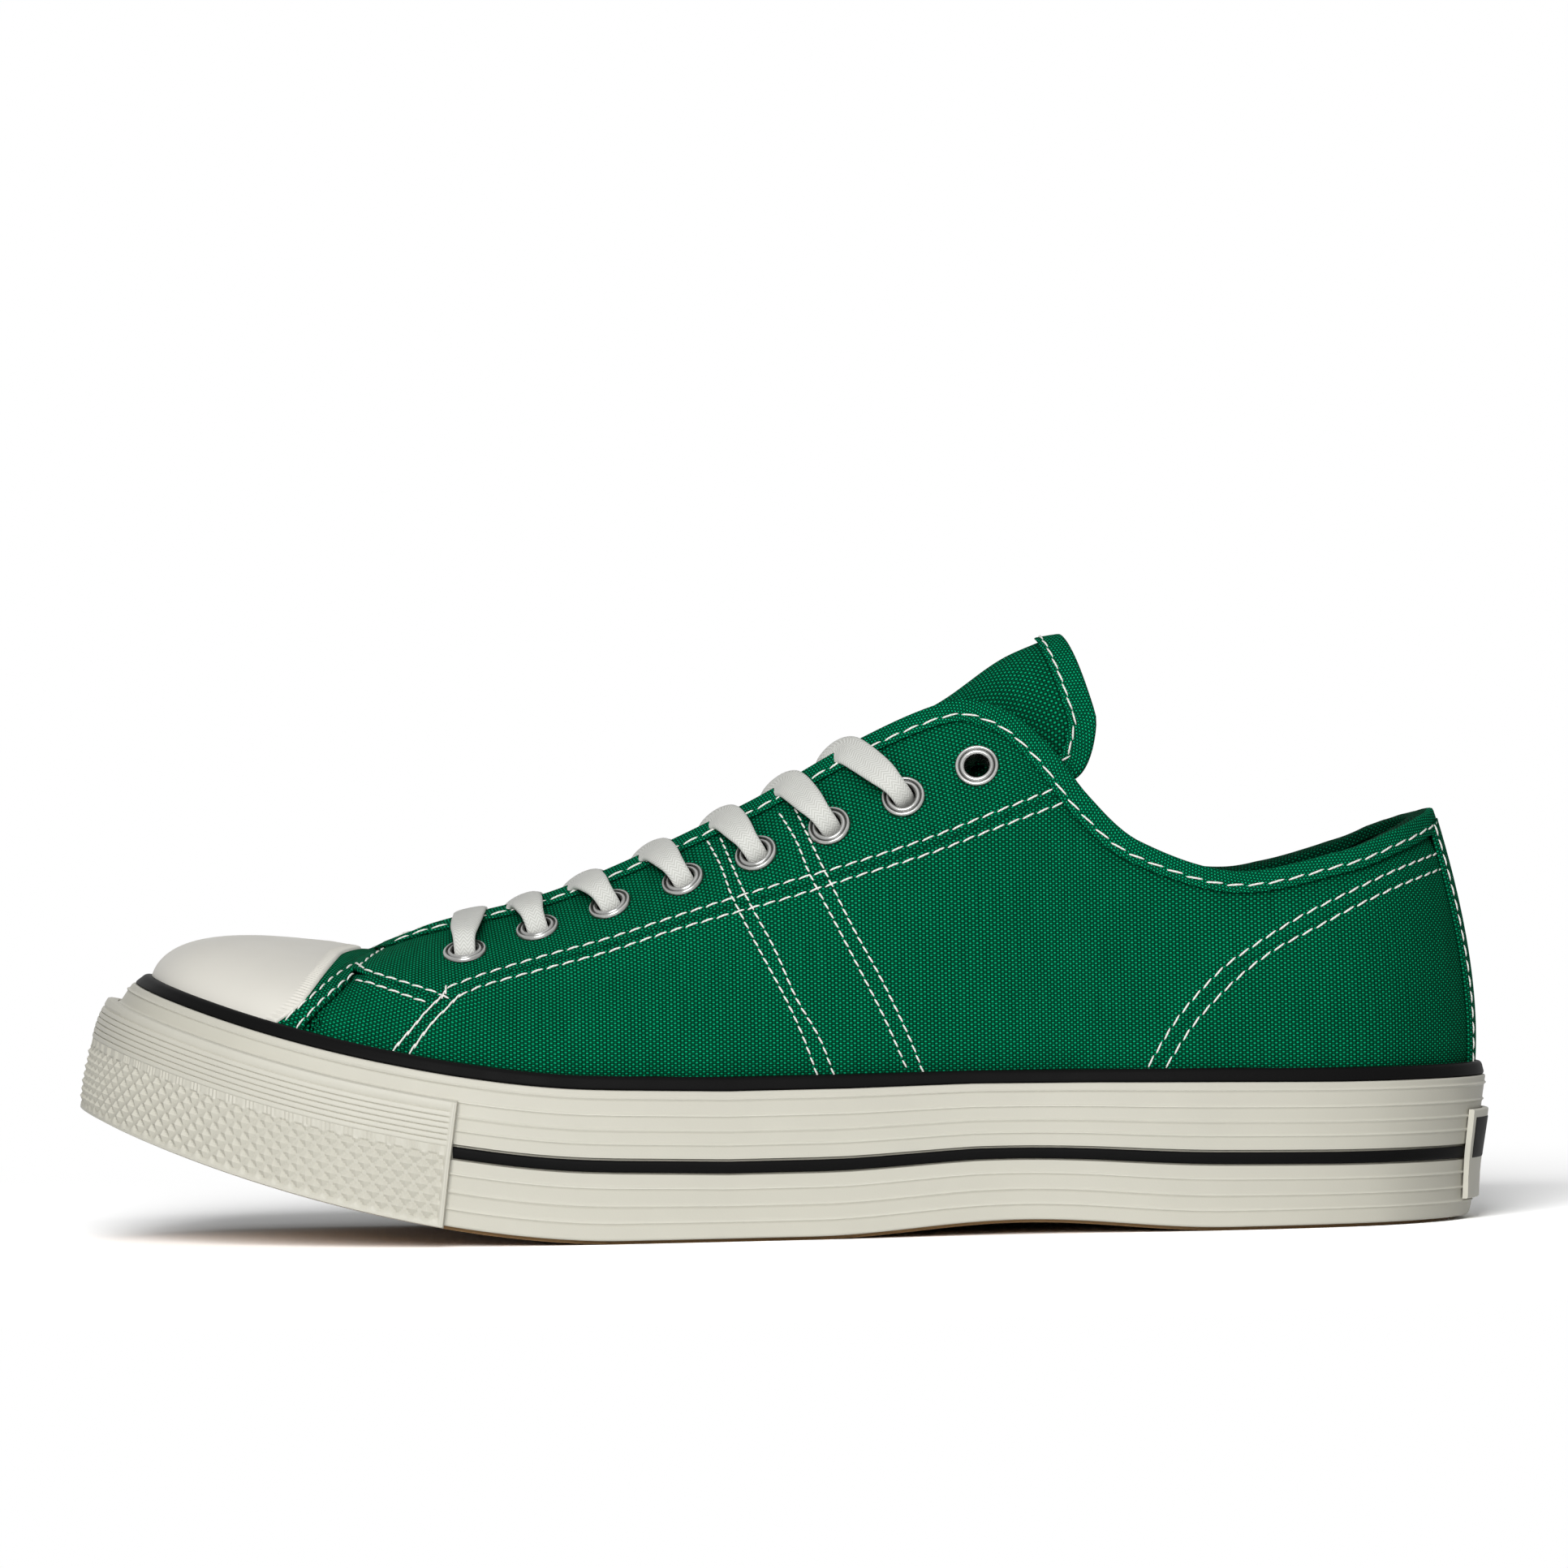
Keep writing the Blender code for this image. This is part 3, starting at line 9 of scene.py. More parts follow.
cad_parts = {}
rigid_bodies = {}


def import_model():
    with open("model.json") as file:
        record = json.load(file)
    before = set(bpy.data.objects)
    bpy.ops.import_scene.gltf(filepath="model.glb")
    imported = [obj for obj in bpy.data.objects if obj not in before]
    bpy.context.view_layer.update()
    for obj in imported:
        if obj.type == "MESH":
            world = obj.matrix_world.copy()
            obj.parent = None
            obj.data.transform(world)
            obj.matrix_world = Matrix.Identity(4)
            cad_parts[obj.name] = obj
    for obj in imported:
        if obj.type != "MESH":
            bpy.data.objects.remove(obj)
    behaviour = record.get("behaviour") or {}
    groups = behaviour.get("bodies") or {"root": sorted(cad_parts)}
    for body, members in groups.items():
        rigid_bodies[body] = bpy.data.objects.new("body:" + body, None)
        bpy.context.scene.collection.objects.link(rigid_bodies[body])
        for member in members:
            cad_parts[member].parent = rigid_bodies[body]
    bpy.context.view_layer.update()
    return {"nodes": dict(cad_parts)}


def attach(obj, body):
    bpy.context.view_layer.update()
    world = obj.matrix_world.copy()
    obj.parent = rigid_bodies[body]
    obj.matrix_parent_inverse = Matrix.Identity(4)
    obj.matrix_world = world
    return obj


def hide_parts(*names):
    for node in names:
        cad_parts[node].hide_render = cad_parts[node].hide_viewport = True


for old in list(bpy.data.objects):
    bpy.data.objects.remove(old, do_unlink=True)
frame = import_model()
outerSide, innerSide = -1, 1
sides = {"Outer": outerSide, "Inner": innerSide}
print("frame loaded")

# camera at the height of the shoe, a long lens, rolled a little so that the heel stands higher
camera = {"lens": 863.6, "distance": 8.0, "aim": (0.0013, -0.0100, 0.0955), "elevation": 2.0, "roll": -1.10}


def makeCamera():
    made = bpy.data.objects.new("camera", bpy.data.cameras.new("camera"))
    bpy.context.scene.collection.objects.link(made)
    made.data.lens = camera["lens"]
    made.data.clip_end = 50
    lift = math.radians(camera["elevation"])
    back = Vector((0, -math.cos(lift), math.sin(lift)))
    look = (-back).to_track_quat("-Z", "Y").to_matrix().to_4x4()
    turn = Matrix.Rotation(math.radians(camera["roll"]), 4, "Z")
    made.matrix_world = Matrix.Translation(Vector(camera["aim"]) + back * camera["distance"]) @ look @ turn
    bpy.context.scene.camera = made


makeCamera()
print("camera set")

# the last: one smooth surface, with q along the top from toe to heel and v up each section
last = {
    "toe": (-0.1331, 0.0060), "heelX": 0.1450,
    "outerLine": [(-0.1331, 0.0060), (-0.1275, -0.0165), (-0.1105, -0.0335), (-0.0800, -0.0440),
                  (-0.0470, -0.0468), (0.0000, -0.0430), (0.0450, -0.0378), (0.0900, -0.0358),
                  (0.1230, -0.0290), (0.1390, -0.0158), (0.1450, 0.0000)],
    "innerLine": [(-0.1331, 0.0060), (-0.1290, 0.0238), (-0.1160, 0.0362), (-0.0930, 0.0434),
                  (-0.0620, 0.0455), (-0.0250, 0.0425), (0.0100, 0.0372), (0.0450, 0.0340),
                  (0.0900, 0.0345), (0.1230, 0.0286), (0.1390, 0.0158), (0.1450, 0.0000)],
    "crest": [(-0.1106, 0.0627), (-0.0966, 0.0618), (-0.0850, 0.0601), (-0.0700, 0.0620)],
    "topEdge": [(-0.0850, 0.0000, 0.0601), (-0.0815, 0.0060, 0.0615), (-0.0730, 0.0088, 0.0651),
                (-0.0450, 0.0105, 0.0729), (-0.0070, 0.0130, 0.0897), (0.0178, 0.0145, 0.1033),
                (0.0340, 0.0155, 0.1104), (0.0422, 0.0170, 0.1115), (0.0495, 0.0200, 0.1079),
                (0.0575, 0.0232, 0.0995), (0.0655, 0.0262, 0.0885), (0.0755, 0.0285, 0.0798),
                (0.0960, 0.0300, 0.0726), (0.1177, 0.0265, 0.0756), (0.1300, 0.0190, 0.0801),
                (0.1370, 0.0095, 0.0839), (0.1388, 0.0000, 0.0858)],
    "sections": [(-0.1331, 2, 0.0085, -5, 0.0270), (-0.1180, -8, 0.0115, -2, 0.0225),
                 (-0.0950, -6, 0.0150, 2, 0.0190), (-0.0780, 0, 0.0160, 14, 0.0180),
                 (-0.0600, 3, 0.0180, 22, 0.0170), (0.0000, 3, 0.0270, 40, 0.0230),
                 (0.0420, 1, 0.0300, 56, 0.0270), (0.0640, 0, 0.0220, 72, 0.0200),
                 (0.0960, 0, 0.0140, 80, 0.0130), (0.1450, 6, 0.0180, 74, 0.0170)],
    "toeFan": 0.0365, "toeFanFrom": -0.0400, "heelFanFrom": 0.1000, "driftTo": 0.0200,
    "crestStart": -0.0966, "throatX": -0.0850, "throatZ": 0.0601, "crestEnd": 0.1388,
    "boardBase": 0.0127, "foxingHeight": 0.0315,
    "rockerFrom": -0.0350, "rockerLength": 0.1150, "rockerPower": 1.75, "toeSpring": 0.0285,
    "archRise": 0.0026, "archFrom": 0.0050, "archTo": 0.0950,
}
bandWave = [(-0.150, 0.0), (-0.098, 0.0009), (-0.081, 0.0012), (-0.064, 0.0013), (-0.038, 0.0012),
            (-0.012, 0.0004),
            (0.014, 0.0004), (0.040, 0.0008), (0.066, 0.0005), (0.092, 0.0), (0.118, -0.0006),
            (0.150, -0.0010)]
collarRise = [(0.044, 0.0), (0.0495, 0.0010), (0.0575, 0.0024), (0.0655, 0.0028), (0.0755, 0.0022),
              (0.096, 0.0024), (0.1177, 0.0027), (0.130, 0.0022), (0.137, 0.0013), (0.1388, 0.0006)]
heelLean = {"from": 0.1200, "reach": 0.0012}
innerCollar = [(-0.080, 0.0), (-0.050, -0.0010), (0.040, -0.0014), (0.055, -0.0022), (0.090, -0.0022),
               (0.102, -0.0004), (0.115, 0.0004), (0.126, 0.0014), (0.134, 0.0010), (0.1388, 0.0)]
gap = 0.00035  # fit between pieces
clothThickness = {"panel": 0.0007, "band": 0.0004, "lining": 0.0006, "backstay": 0.0005}
level = {"facing": 0.00125, "cap": 0.00155, "lining": -0.003325, "foxing": 0.0039}


def curveThrough(points, count, before=None, after=None):
    p = np.array(points, float)
    first = 2 * p[0] - p[1] if before is None else np.array(before, float)
    final = 2 * p[-1] - p[-2] if after is None else np.array(after, float)
    p = np.vstack([first, p, final])
    t = (np.arange(count) / count)[:, None]
    spans = []
    for a, b, c, d in zip(p, p[1:], p[2:], p[3:]):
        chord = np.linalg.norm(c - b)
        leave = chord * (c - a) / (np.linalg.norm(b - a) + chord)
        arrive = chord * (d - b) / (np.linalg.norm(d - c) + chord)
        spans.append((2 * t**3 - 3 * t**2 + 1) * b + (t**3 - 2 * t**2 + t) * leave
                     + (3 * t**2 - 2 * t**3) * c + (t**3 - t**2) * arrive)
    return np.vstack([*spans, p[-2:-1]])


def valueAlong(points, x, column=1):
    curve = curveThrough(points, 24)
    return np.interp(x, curve[:, 0], curve[:, column])


def runAlong(path):  # length of a path up to each of its points
    return np.concatenate([[0], np.linalg.norm(np.diff(path, axis=0), axis=1).cumsum()])


def smoothStep(t):
    t = np.clip(t, 0, 1)
    return t * t * (3 - 2 * t)


def groundAt(x, height=0.0):
    lift = last["toeSpring"] * (np.clip(last["rockerFrom"] - x, 0,
                                        None) / last["rockerLength"]) ** last["rockerPower"]
    share = np.clip((x - last["archFrom"]) / (last["archTo"] - last["archFrom"]), 0, 1)
    arch = last["archRise"] * np.sin(math.pi * share) ** 2 * (1 - height / last["foxingHeight"])
    return height + lift + arch


def toeShare(x):
    return np.clip((last["toeFanFrom"] - x) / (last["toeFanFrom"] - last["toe"][0]), 0, None)


def heelShare(x):
    return np.clip((x - last["heelFanFrom"]) / (last["heelX"] - last["heelFanFrom"]), 0, None)


def angleOf(q):
    return np.arccos(np.clip(1 - 2 * (q - last["crestStart"]) / (last["crestEnd"] - last["crestStart"]),
                             -1, 1))


def sectionsFrom(start, end, count):  # even round the toe and the heel
    angle = np.linspace(angleOf(start), angleOf(end), count)
    return last["crestStart"] + (last["crestEnd"] - last["crestStart"]) * (1 - np.cos(angle)) / 2


def crestSide(x):
    return last["toe"][1] * np.clip((last["driftTo"] - x) / (last["driftTo"] - last["toe"][0]), 0, 1)


def edgeTables(side):
    own, other = ("outerLine", "innerLine") if side == outerSide else ("innerLine", "outerLine")
    line = curveThrough(last[own], 40, before=last[other][1], after=last[other][-2])
    tangent = np.gradient(line, axis=0)
    normal = np.stack([-tangent[:, 1], tangent[:, 0]], 1) * side
    normal /= np.linalg.norm(normal, axis=1)[:, None]
    x = line[:, 0]
    heelFan = last["heelX"] - last["crestEnd"]
    foot = angleOf(x + last["toeFan"] * toeShare(x) ** 2 - heelFan * heelShare(x) ** 2)
    crest = curveThrough(last["crest"], 40)
    crest = crest[(crest[:, 0] >= last["crestStart"]) & (crest[:, 0] < last["throatX"])]
    edge = curveThrough(last["topEdge"], 40, after=np.multiply(last["topEdge"][-2], (1, -1, 1)))
    x = np.concatenate([crest[:, 0], edge[:, 0]])
    y = crestSide(x) + side * np.concatenate([np.zeros(len(crest)), edge[:, 1]])
    z = np.concatenate([crest[:, 1], edge[:, 2]]) + np.interp(x, *np.transpose(collarRise))
    if side == innerSide:
        z = z + np.interp(x, *np.transpose(innerCollar))
    lean = heelLean["reach"] * smoothStep((x - heelLean["from"]) / (last["crestEnd"] - heelLean["from"]))
    return foot, line, normal, angleOf(x), np.stack([x - lean, y, z], 1)


tables = {side: edgeTables(side) for side in sides.values()}


def readTable(at, table, rows):
    return np.stack([np.interp(at, table, rows[:, k]) for k in range(rows.shape[1])], -1)


def soleEdge(side, q):
    foot, line, normal, _, _ = tables[side]
    at = angleOf(np.asarray(q, float))
    out = readTable(at, foot, normal)
    return readTable(at, foot, line), out / np.linalg.norm(out, axis=-1)[..., None]


def bareUpper(side, q, v):
    q, v = np.broadcast_arrays(np.asarray(q, float), np.asarray(v, float))
    foot, out = soleEdge(side, q)
    head = readTable(angleOf(q), *tables[side][3:])
    base = np.concatenate([foot, groundAt(foot[..., 0], last["foxingHeight"])[..., None]], -1)
    lean, rise, slope, reach = (valueAlong(last["sections"], foot[..., 0], k)[..., None]
                                for k in (1, 2, 3, 4))
    lean, slope = np.radians(lean), np.radians(slope)
    out = np.concatenate([out, np.zeros(out.shape[:-1] + (1,))], -1)
    away = (base - head) * (1, 1, 0) + out * 1e-6
    away /= np.linalg.norm(away, axis=-1)[..., None]
    up = np.array([0, 0, 1.0])
    first = base + rise * (np.sin(lean) * out + np.cos(lean) * up)
    second = head + reach * (np.cos(slope) * away - np.sin(slope) * up)
    w = np.clip(v, 0, 1)[..., None]
    point = (1 - w) ** 3 * base + 3 * (1 - w) ** 2 * w * first + 3 * (1 - w) * w**2 * second + w**3 * head
    x = foot[..., 0]
    drop = groundAt(x, last["boardBase"]) - groundAt(x, last["foxingHeight"])
    return point - (np.clip(v, -1, 0) * drop)[..., None] * up


def upperNormal(side, q, v):
    q, v = np.broadcast_arrays(np.asarray(q, float), np.asarray(v, float))
    step = (last["crestEnd"] - last["crestStart"]) * 1e-4
    q = np.clip(q, last["crestStart"] + 2 * step, last["crestEnd"] - 2 * step)
    v = np.clip(v, -1, 0.995)
    along = bareUpper(side, q + step, v) - bareUpper(side, q - step, v)
    climb = bareUpper(side, q, v + 0.004) - bareUpper(side, q, v - 0.004)
    normal = np.cross(climb, along) * side
    return normal / np.linalg.norm(normal, axis=-1)[..., None]


def onUpper(side, q, v, offset=0.0):
    return bareUpper(side, q, v) + upperNormal(side, q, v) * np.asarray(offset)[..., None]


def locate(points, offset, count=8):  # sections and climbs of a line drawn on the side view, in millimetres
    line = curveThrough(np.array(points) / 1000, count)
    x, z = line[:, 0], line[:, 1]
    q, climb = x.copy(), np.linspace(-0.3, 1, 131)
    tilt = math.tan(math.radians(camera["elevation"]))
    for _ in range(14):
        spots = onUpper(outerSide, q[:, None], climb, offset)
        heights = spots[..., 2] + tilt * (spots[..., 1] + 0.050)
        v = np.array([np.interp(height, column, climb) for height, column in zip(z, heights)])
        q = np.clip(q + 0.8 * (x - onUpper(outerSide, q, v, offset)[..., 0]), last["crestStart"],
                    last["crestEnd"])
    return q, v


def climbOn(seam, q):
    order = np.argsort(seam[0])
    return np.interp(q, seam[0][order], seam[1][order])


def sectionOn(seam, v):
    order = np.argsort(seam[1])
    return np.interp(v, seam[1][order], seam[0][order])


def sectionOf(x):  # section whose foot stands at x on the outer side
    lines = np.linspace(last["crestStart"], last["crestEnd"], 2000)
    return np.interp(x, soleEdge(outerSide, lines)[0][:, 0], lines)


def heelSection(halfWidth):
    lines = np.linspace(last["heelFanFrom"], last["crestEnd"], 4000)
    return np.interp(-halfWidth, soleEdge(outerSide, lines)[0][:, 1], lines)


# lengths along and up the surface, so that a weave keeps its scale on every panel
flatMap = {}
for word, side in sides.items():
    lines, climbs = sectionsFrom(last["crestStart"], last["crestEnd"], 300), np.linspace(0, 1, 61)
    spots = bareUpper(side, lines[:, None], climbs)
    up = np.linalg.norm(np.diff(spots, axis=1), axis=2)
    flatMap[side] = (angleOf(lines), runAlong(spots[:, 24]),
                     np.concatenate([np.zeros((300, 1)), up.cumsum(1)], 1))


def sectionLength(side, q):
    angle, _, up = flatMap[side]
    return np.interp(angleOf(q), angle, up[:, -1])


def flatPlace(side, q, v):
    angle, run, up = flatMap[side]
    q, v = np.broadcast_arrays(np.asarray(q, float), np.asarray(v, float))
    place = np.interp(angleOf(q), angle, np.arange(len(angle)))
    low = np.clip(place.astype(int), 0, len(angle) - 2)
    share = place - low
    climb = np.clip(v, 0, 1) * (up.shape[1] - 1)
    step = np.clip(climb.astype(int), 0, up.shape[1] - 2)
    rest = climb - step
    a = up[low, step] * (1 - rest) + up[low, step + 1] * rest
    b = up[low + 1, step] * (1 - rest) + up[low + 1, step + 1] * rest
    height = a * (1 - share) + b * share + np.clip(v, -1, 0) * (last["foxingHeight"] - last["boardBase"])
    return np.stack([side * np.interp(angleOf(q), angle, run), height], -1)


# mesh helpers
def settle(bm, mesh):
    bm.to_mesh(mesh)
    bm.free()
    return mesh


def addCopy(bm, mesh, matrix):
    start = len(bm.verts)
    bm.from_mesh(mesh)
    bm.verts.ensure_lookup_table()
    bmesh.ops.transform(bm, matrix=matrix, verts=bm.verts[start:])


def gridMesh(name, points, flat, relief=None, closedAround=False, capped=False):
    rows, columns = points.shape[:2]
    bm = bmesh.new()
    bmesh.ops.create_grid(bm, x_segments=rows - 1, y_segments=columns - 1, size=1)
    mesh = settle(bm, bpy.data.meshes.new(name))
    spots = np.empty(len(mesh.vertices) * 3)
    mesh.vertices.foreach_get("co", spots)
    spots = spots.reshape(-1, 3)
    i = np.rint((spots[:, 0] + 1) / 2 * (rows - 1)).astype(int)
    j = np.rint((spots[:, 1] + 1) / 2 * (columns - 1)).astype(int)
    mesh.vertices.foreach_set("co", points[i, j].ravel())
    corner = np.empty(len(mesh.loops), int)
    mesh.loops.foreach_get("vertex_index", corner)
    layer = mesh.uv_layers.new(name="flat")
    layer.uv.foreach_set("vector", flat[i, j][corner].ravel())
    # the relief mark drives painted shade: the rubber materials darken where it is low, and the collar tape's
    # inner leg takes the darker lining
    if relief is not None:
        mark = mesh.attributes.new("relief", "FLOAT", "POINT")
        mark.data.foreach_set("value", np.broadcast_to(relief, (rows, columns))[i, j].ravel())
    bm = bmesh.new()
    bm.from_mesh(mesh)
    bmesh.ops.remove_doubles(bm, verts=bm.verts, dist=2e-6)
    if capped:
        bmesh.ops.holes_fill(bm, edges=[edge for edge in bm.edges if edge.is_boundary], sides=0)
        bmesh.ops.triangulate(bm, faces=[face for face in bm.faces if len(face.verts) > 4])
    bm.normal_update()
    if capped or closedAround:
        bmesh.ops.recalc_face_normals(bm, faces=bm.faces)
        wrong = bm.calc_volume(signed=True) < 0
    else:
        wrong = facingShare(bm) < 0
    if wrong:
        bmesh.ops.reverse_faces(bm, faces=bm.faces)
    return settle(bm, mesh)


def facingShare(bm):  # above 0 where the sheet looks away from the foot
    total = 0.0
    for face in bm.faces:
        middle = face.calc_center_median()
        inside = Vector((min(max(middle.x, last["throatX"]), last["heelFanFrom"]), 0,
                         groundAt(middle.x, 0.0185)))
        total += face.normal.dot(middle - inside) * face.calc_area()
    return total


pieces = {}


def addPiece(name, mesh, material, body, nodes, sharp=35):
    mesh.shade_smooth()
    if sharp:
        mesh.set_sharp_from_angle(angle=math.radians(sharp))
    piece = bpy.data.objects.new(name, mesh)
    bpy.context.scene.collection.objects.link(piece)
    mesh.materials.append(material)
    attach(piece, body)
    if nodes:
        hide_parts(*nodes)
    pieces[name] = piece
    return piece


def paintNodes(material, *nodes):  # nodes of the frame that are shown as they are
    for node in nodes:
        mesh = frame["nodes"][node].data
        mesh.materials.clear()
        mesh.materials.append(material)


def thicken(piece, thickness):
    solid = piece.modifiers.new("thickness", "SOLIDIFY")
    solid.thickness = thickness
    solid.offset = -1


def runLengths(points):  # lengths along the rows and across the columns, for a plain flat map
    along = np.linalg.norm(np.diff(points, axis=0), axis=2).mean(1)
    across = np.linalg.norm(np.diff(points, axis=1), axis=2).mean(0)
    u = np.concatenate([[0], along.cumsum()])
    v = np.concatenate([[0], across.cumsum()])
    return np.stack(np.broadcast_arrays(u[:, None], v[None, :]), -1)


# materials
def newMaterial(name, roughness, specular=0.3, metallic=0.0):
    made = bpy.data.materials.new(name)
    made.use_nodes = True
    shader = made.node_tree.nodes["Principled BSDF"]
    shader.inputs["Roughness"].default_value = roughness
    shader.inputs["Specular IOR Level"].default_value = specular
    shader.inputs["Metallic"].default_value = metallic
    return made, shader


class Wiring:
    def __init__(self, made):
        self.tree = made.node_tree

    def node(self, kind, **values):
        made = self.tree.nodes.new(kind)
        for name, value in values.items():
            setattr(made, name, value)
        return made

    def link(self, source, target):
        if isinstance(source, (int, float)):
            target.default_value = source
        else:
            self.tree.links.new(source, target)

    def math(self, operation, a, b=0.0, c=0.0):
        made = self.node("ShaderNodeMath", operation=operation)
        for source, target in zip((a, b, c), made.inputs):
            self.link(source, target)
        return made.outputs[0]

    def flat(self, turn=0.0):
        source = self.node("ShaderNodeUVMap", uv_map="flat").outputs[0]
        if turn:
            mapping = self.node("ShaderNodeMapping")
            mapping.inputs["Rotation"].default_value[2] = math.radians(turn)
            self.link(source, mapping.inputs["Vector"])
            source = mapping.outputs[0]
        parts = self.node("ShaderNodeSeparateXYZ")
        self.link(source, parts.inputs[0])
        return source, parts.outputs[0], parts.outputs[1]

    def objectPlace(self):
        return self.node("ShaderNodeTexCoord").outputs["Object"]

    def noise(self, vector, scale, detail=2.0, roughness=0.5):
        made = self.node("ShaderNodeTexNoise")
        self.link(vector, made.inputs["Vector"])
        made.inputs["Scale"].default_value = scale
        made.inputs["Detail"].default_value = detail
        made.inputs["Roughness"].default_value = roughness
        return made.outputs["Fac"]

    def ramp(self, factor, stops):
        made = self.node("ShaderNodeValToRGB")
        self.link(factor, made.inputs[0])
        while len(made.color_ramp.elements) < len(stops):
            made.color_ramp.elements.new(0.5)
        for element, (place, colour) in zip(made.color_ramp.elements, stops):
            element.position = place
            element.color = (*colour, 1)
        return made.outputs[0]

    def between(self, factor, low, high):
        made = self.node("ShaderNodeMapRange")
        self.link(factor, made.inputs["Value"])
        made.inputs["To Min"].default_value = low
        made.inputs["To Max"].default_value = high
        return made.outputs[0]

    def tint(self, colour, factor, low, high):  # colour times a value between low and high
        made = self.node("ShaderNodeVectorMath", operation="SCALE")
        self.link(colour, made.inputs[0])
        self.link(self.between(factor, low, high), made.inputs["Scale"])
        return made.outputs[0]

    def seen(self):  # 1 for rays that show a surface, 0 for rays that only light
        path = self.node("ShaderNodeLightPath")
        mirrored = self.math("MAXIMUM", path.outputs["Is Glossy Ray"], path.outputs["Is Transmission Ray"])
        return self.math("MAXIMUM", path.outputs["Is Camera Ray"], mirrored)

    def paintedShade(self, distance, samples=4):  # ambient occlusion used as painted shade: 1 in the open, less where other surfaces are near
        made = self.node("ShaderNodeAmbientOcclusion", samples=samples)
        made.inputs["Distance"].default_value = distance
        return made.outputs["AO"]

    def span(self, value, low, high):  # 0 at low, 1 at high
        made = self.node("ShaderNodeMapRange", interpolation_type="SMOOTHSTEP")
        self.link(value, made.inputs["Value"])
        made.inputs["From Min"].default_value = low
        made.inputs["From Max"].default_value = high
        return made.outputs[0]

    def bump(self, height, distance, strength=1.0, under=None):
        made = self.node("ShaderNodeBump")
        made.inputs["Strength"].default_value = strength
        made.inputs["Distance"].default_value = distance
        self.link(height, made.inputs["Height"])
        if under is not None:
            self.link(under, made.inputs["Normal"])
        return made.outputs[0]


canvasWeave = {"warp": 0.00076, "weft": 0.00048, "bump": 0.00022,
               "gap": (0.0003, 0.027, 0.011), "weftColour": (0.001, 0.105, 0.046),
               "warpColour": (0.004, 0.47, 0.215)}


def canvasMaterial(name, turn=0.0, shade=1.0, scale=1.0, paintedShade=(0.005, 0.25)):
    made, shader = newMaterial(name, 0.9, 0.02)
    w = Wiring(made)
    place, u, v = w.flat(turn)
    a = w.math("SINE", w.math("MULTIPLY", u, math.pi / canvasWeave["warp"] / scale))
    b = w.math("SINE", w.math("MULTIPLY", v, math.pi / canvasWeave["weft"] / scale))
    over = w.math("MULTIPLY", a, b)
    height = w.math("MULTIPLY_ADD", over, 0.5, 0.5)
    # the tone follows the weave's height: darker in the gaps between yarns, brightest on the raised warp;
    # partly the cloth's weave pattern, partly painted shade in the gaps
    stops = [(0.0, canvasWeave["weftColour"]), (0.42, canvasWeave["gap"]), (0.58, canvasWeave["gap"]),
             (1.0, canvasWeave["warpColour"])]
    stops = [(at, tuple(shade * c for c in colour)) for at, colour in stops]
    colour = w.ramp(height, stops)
    stretch = w.node("ShaderNodeMapping")
    stretch.inputs["Scale"].default_value = (1, 0.06, 1)
    w.link(place, stretch.inputs["Vector"])
    colour = w.tint(colour, w.noise(stretch.outputs[0], 1500, 1), 0.72, 1.28)
    colour = w.tint(colour, w.noise(w.objectPlace(), 60, 3), 0.90, 1.10)
    # painted shade: ambient occlusion darkens the cloth near seams, tape edges, holes and other surfaces,
    # down to the given share
    colour = w.tint(colour, w.paintedShade(paintedShade[0]), paintedShade[1], 1.0)
    raised = w.math("ABSOLUTE", over)
    w.link(colour, shader.inputs["Base Color"])
    w.link(w.bump(raised, canvasWeave["bump"], 0.8), shader.inputs["Normal"])
    return made


def rubberMaterial(name, colour, groove, roughness, specular=0.3):  # groove is the painted shade colour in the depths: the rubber's tone darkens where its relief mark is low
    made, shader = newMaterial(name, roughness, specular)
    w = Wiring(made)
    place = w.objectPlace()
    depth = w.node("ShaderNodeAttribute", attribute_name="relief").outputs["Fac"]
    tone = w.ramp(depth,
                  [(0.0, groove), (0.55, tuple(0.3 * g + 0.7 * c for g, c in zip(groove, colour))),
                   (1.0, colour)])
    tone = w.tint(tone, w.noise(place, 45, 4, 0.6), 0.95, 1.05)
    w.link(tone, shader.inputs["Base Color"])
    fine = w.noise(place, 2600, 2)
    w.link(w.bump(fine, 0.00003, 0.5), shader.inputs["Normal"])
    w.link(w.between(w.noise(place, 150, 3), roughness - 0.08, roughness + 0.08),
           shader.inputs["Roughness"])
    return made


def threadMaterial(name, colour, pitch):  # two-ply twist along the piece's own length
    made, shader = newMaterial(name, 0.7, 0.2)
    w = Wiring(made)
    _, u, v = w.flat()
    lean = w.math("ADD", w.math("MULTIPLY", u, 2 * math.pi / pitch),
                  w.math("MULTIPLY", v, 2 * math.pi / pitch))
    line = w.math("MULTIPLY_ADD", w.math("SINE", lean), 0.5, 0.5)
    tone = w.ramp(line, [(0.0, tuple(0.75 * c for c in colour)), (0.5, colour), (1.0, colour)])
    tone = w.tint(tone, w.noise(w.objectPlace(), 900, 2), 0.92, 1.08)
    w.link(tone, shader.inputs["Base Color"])
    w.link(w.bump(line, 0.00006, 0.6), shader.inputs["Normal"])
    return made


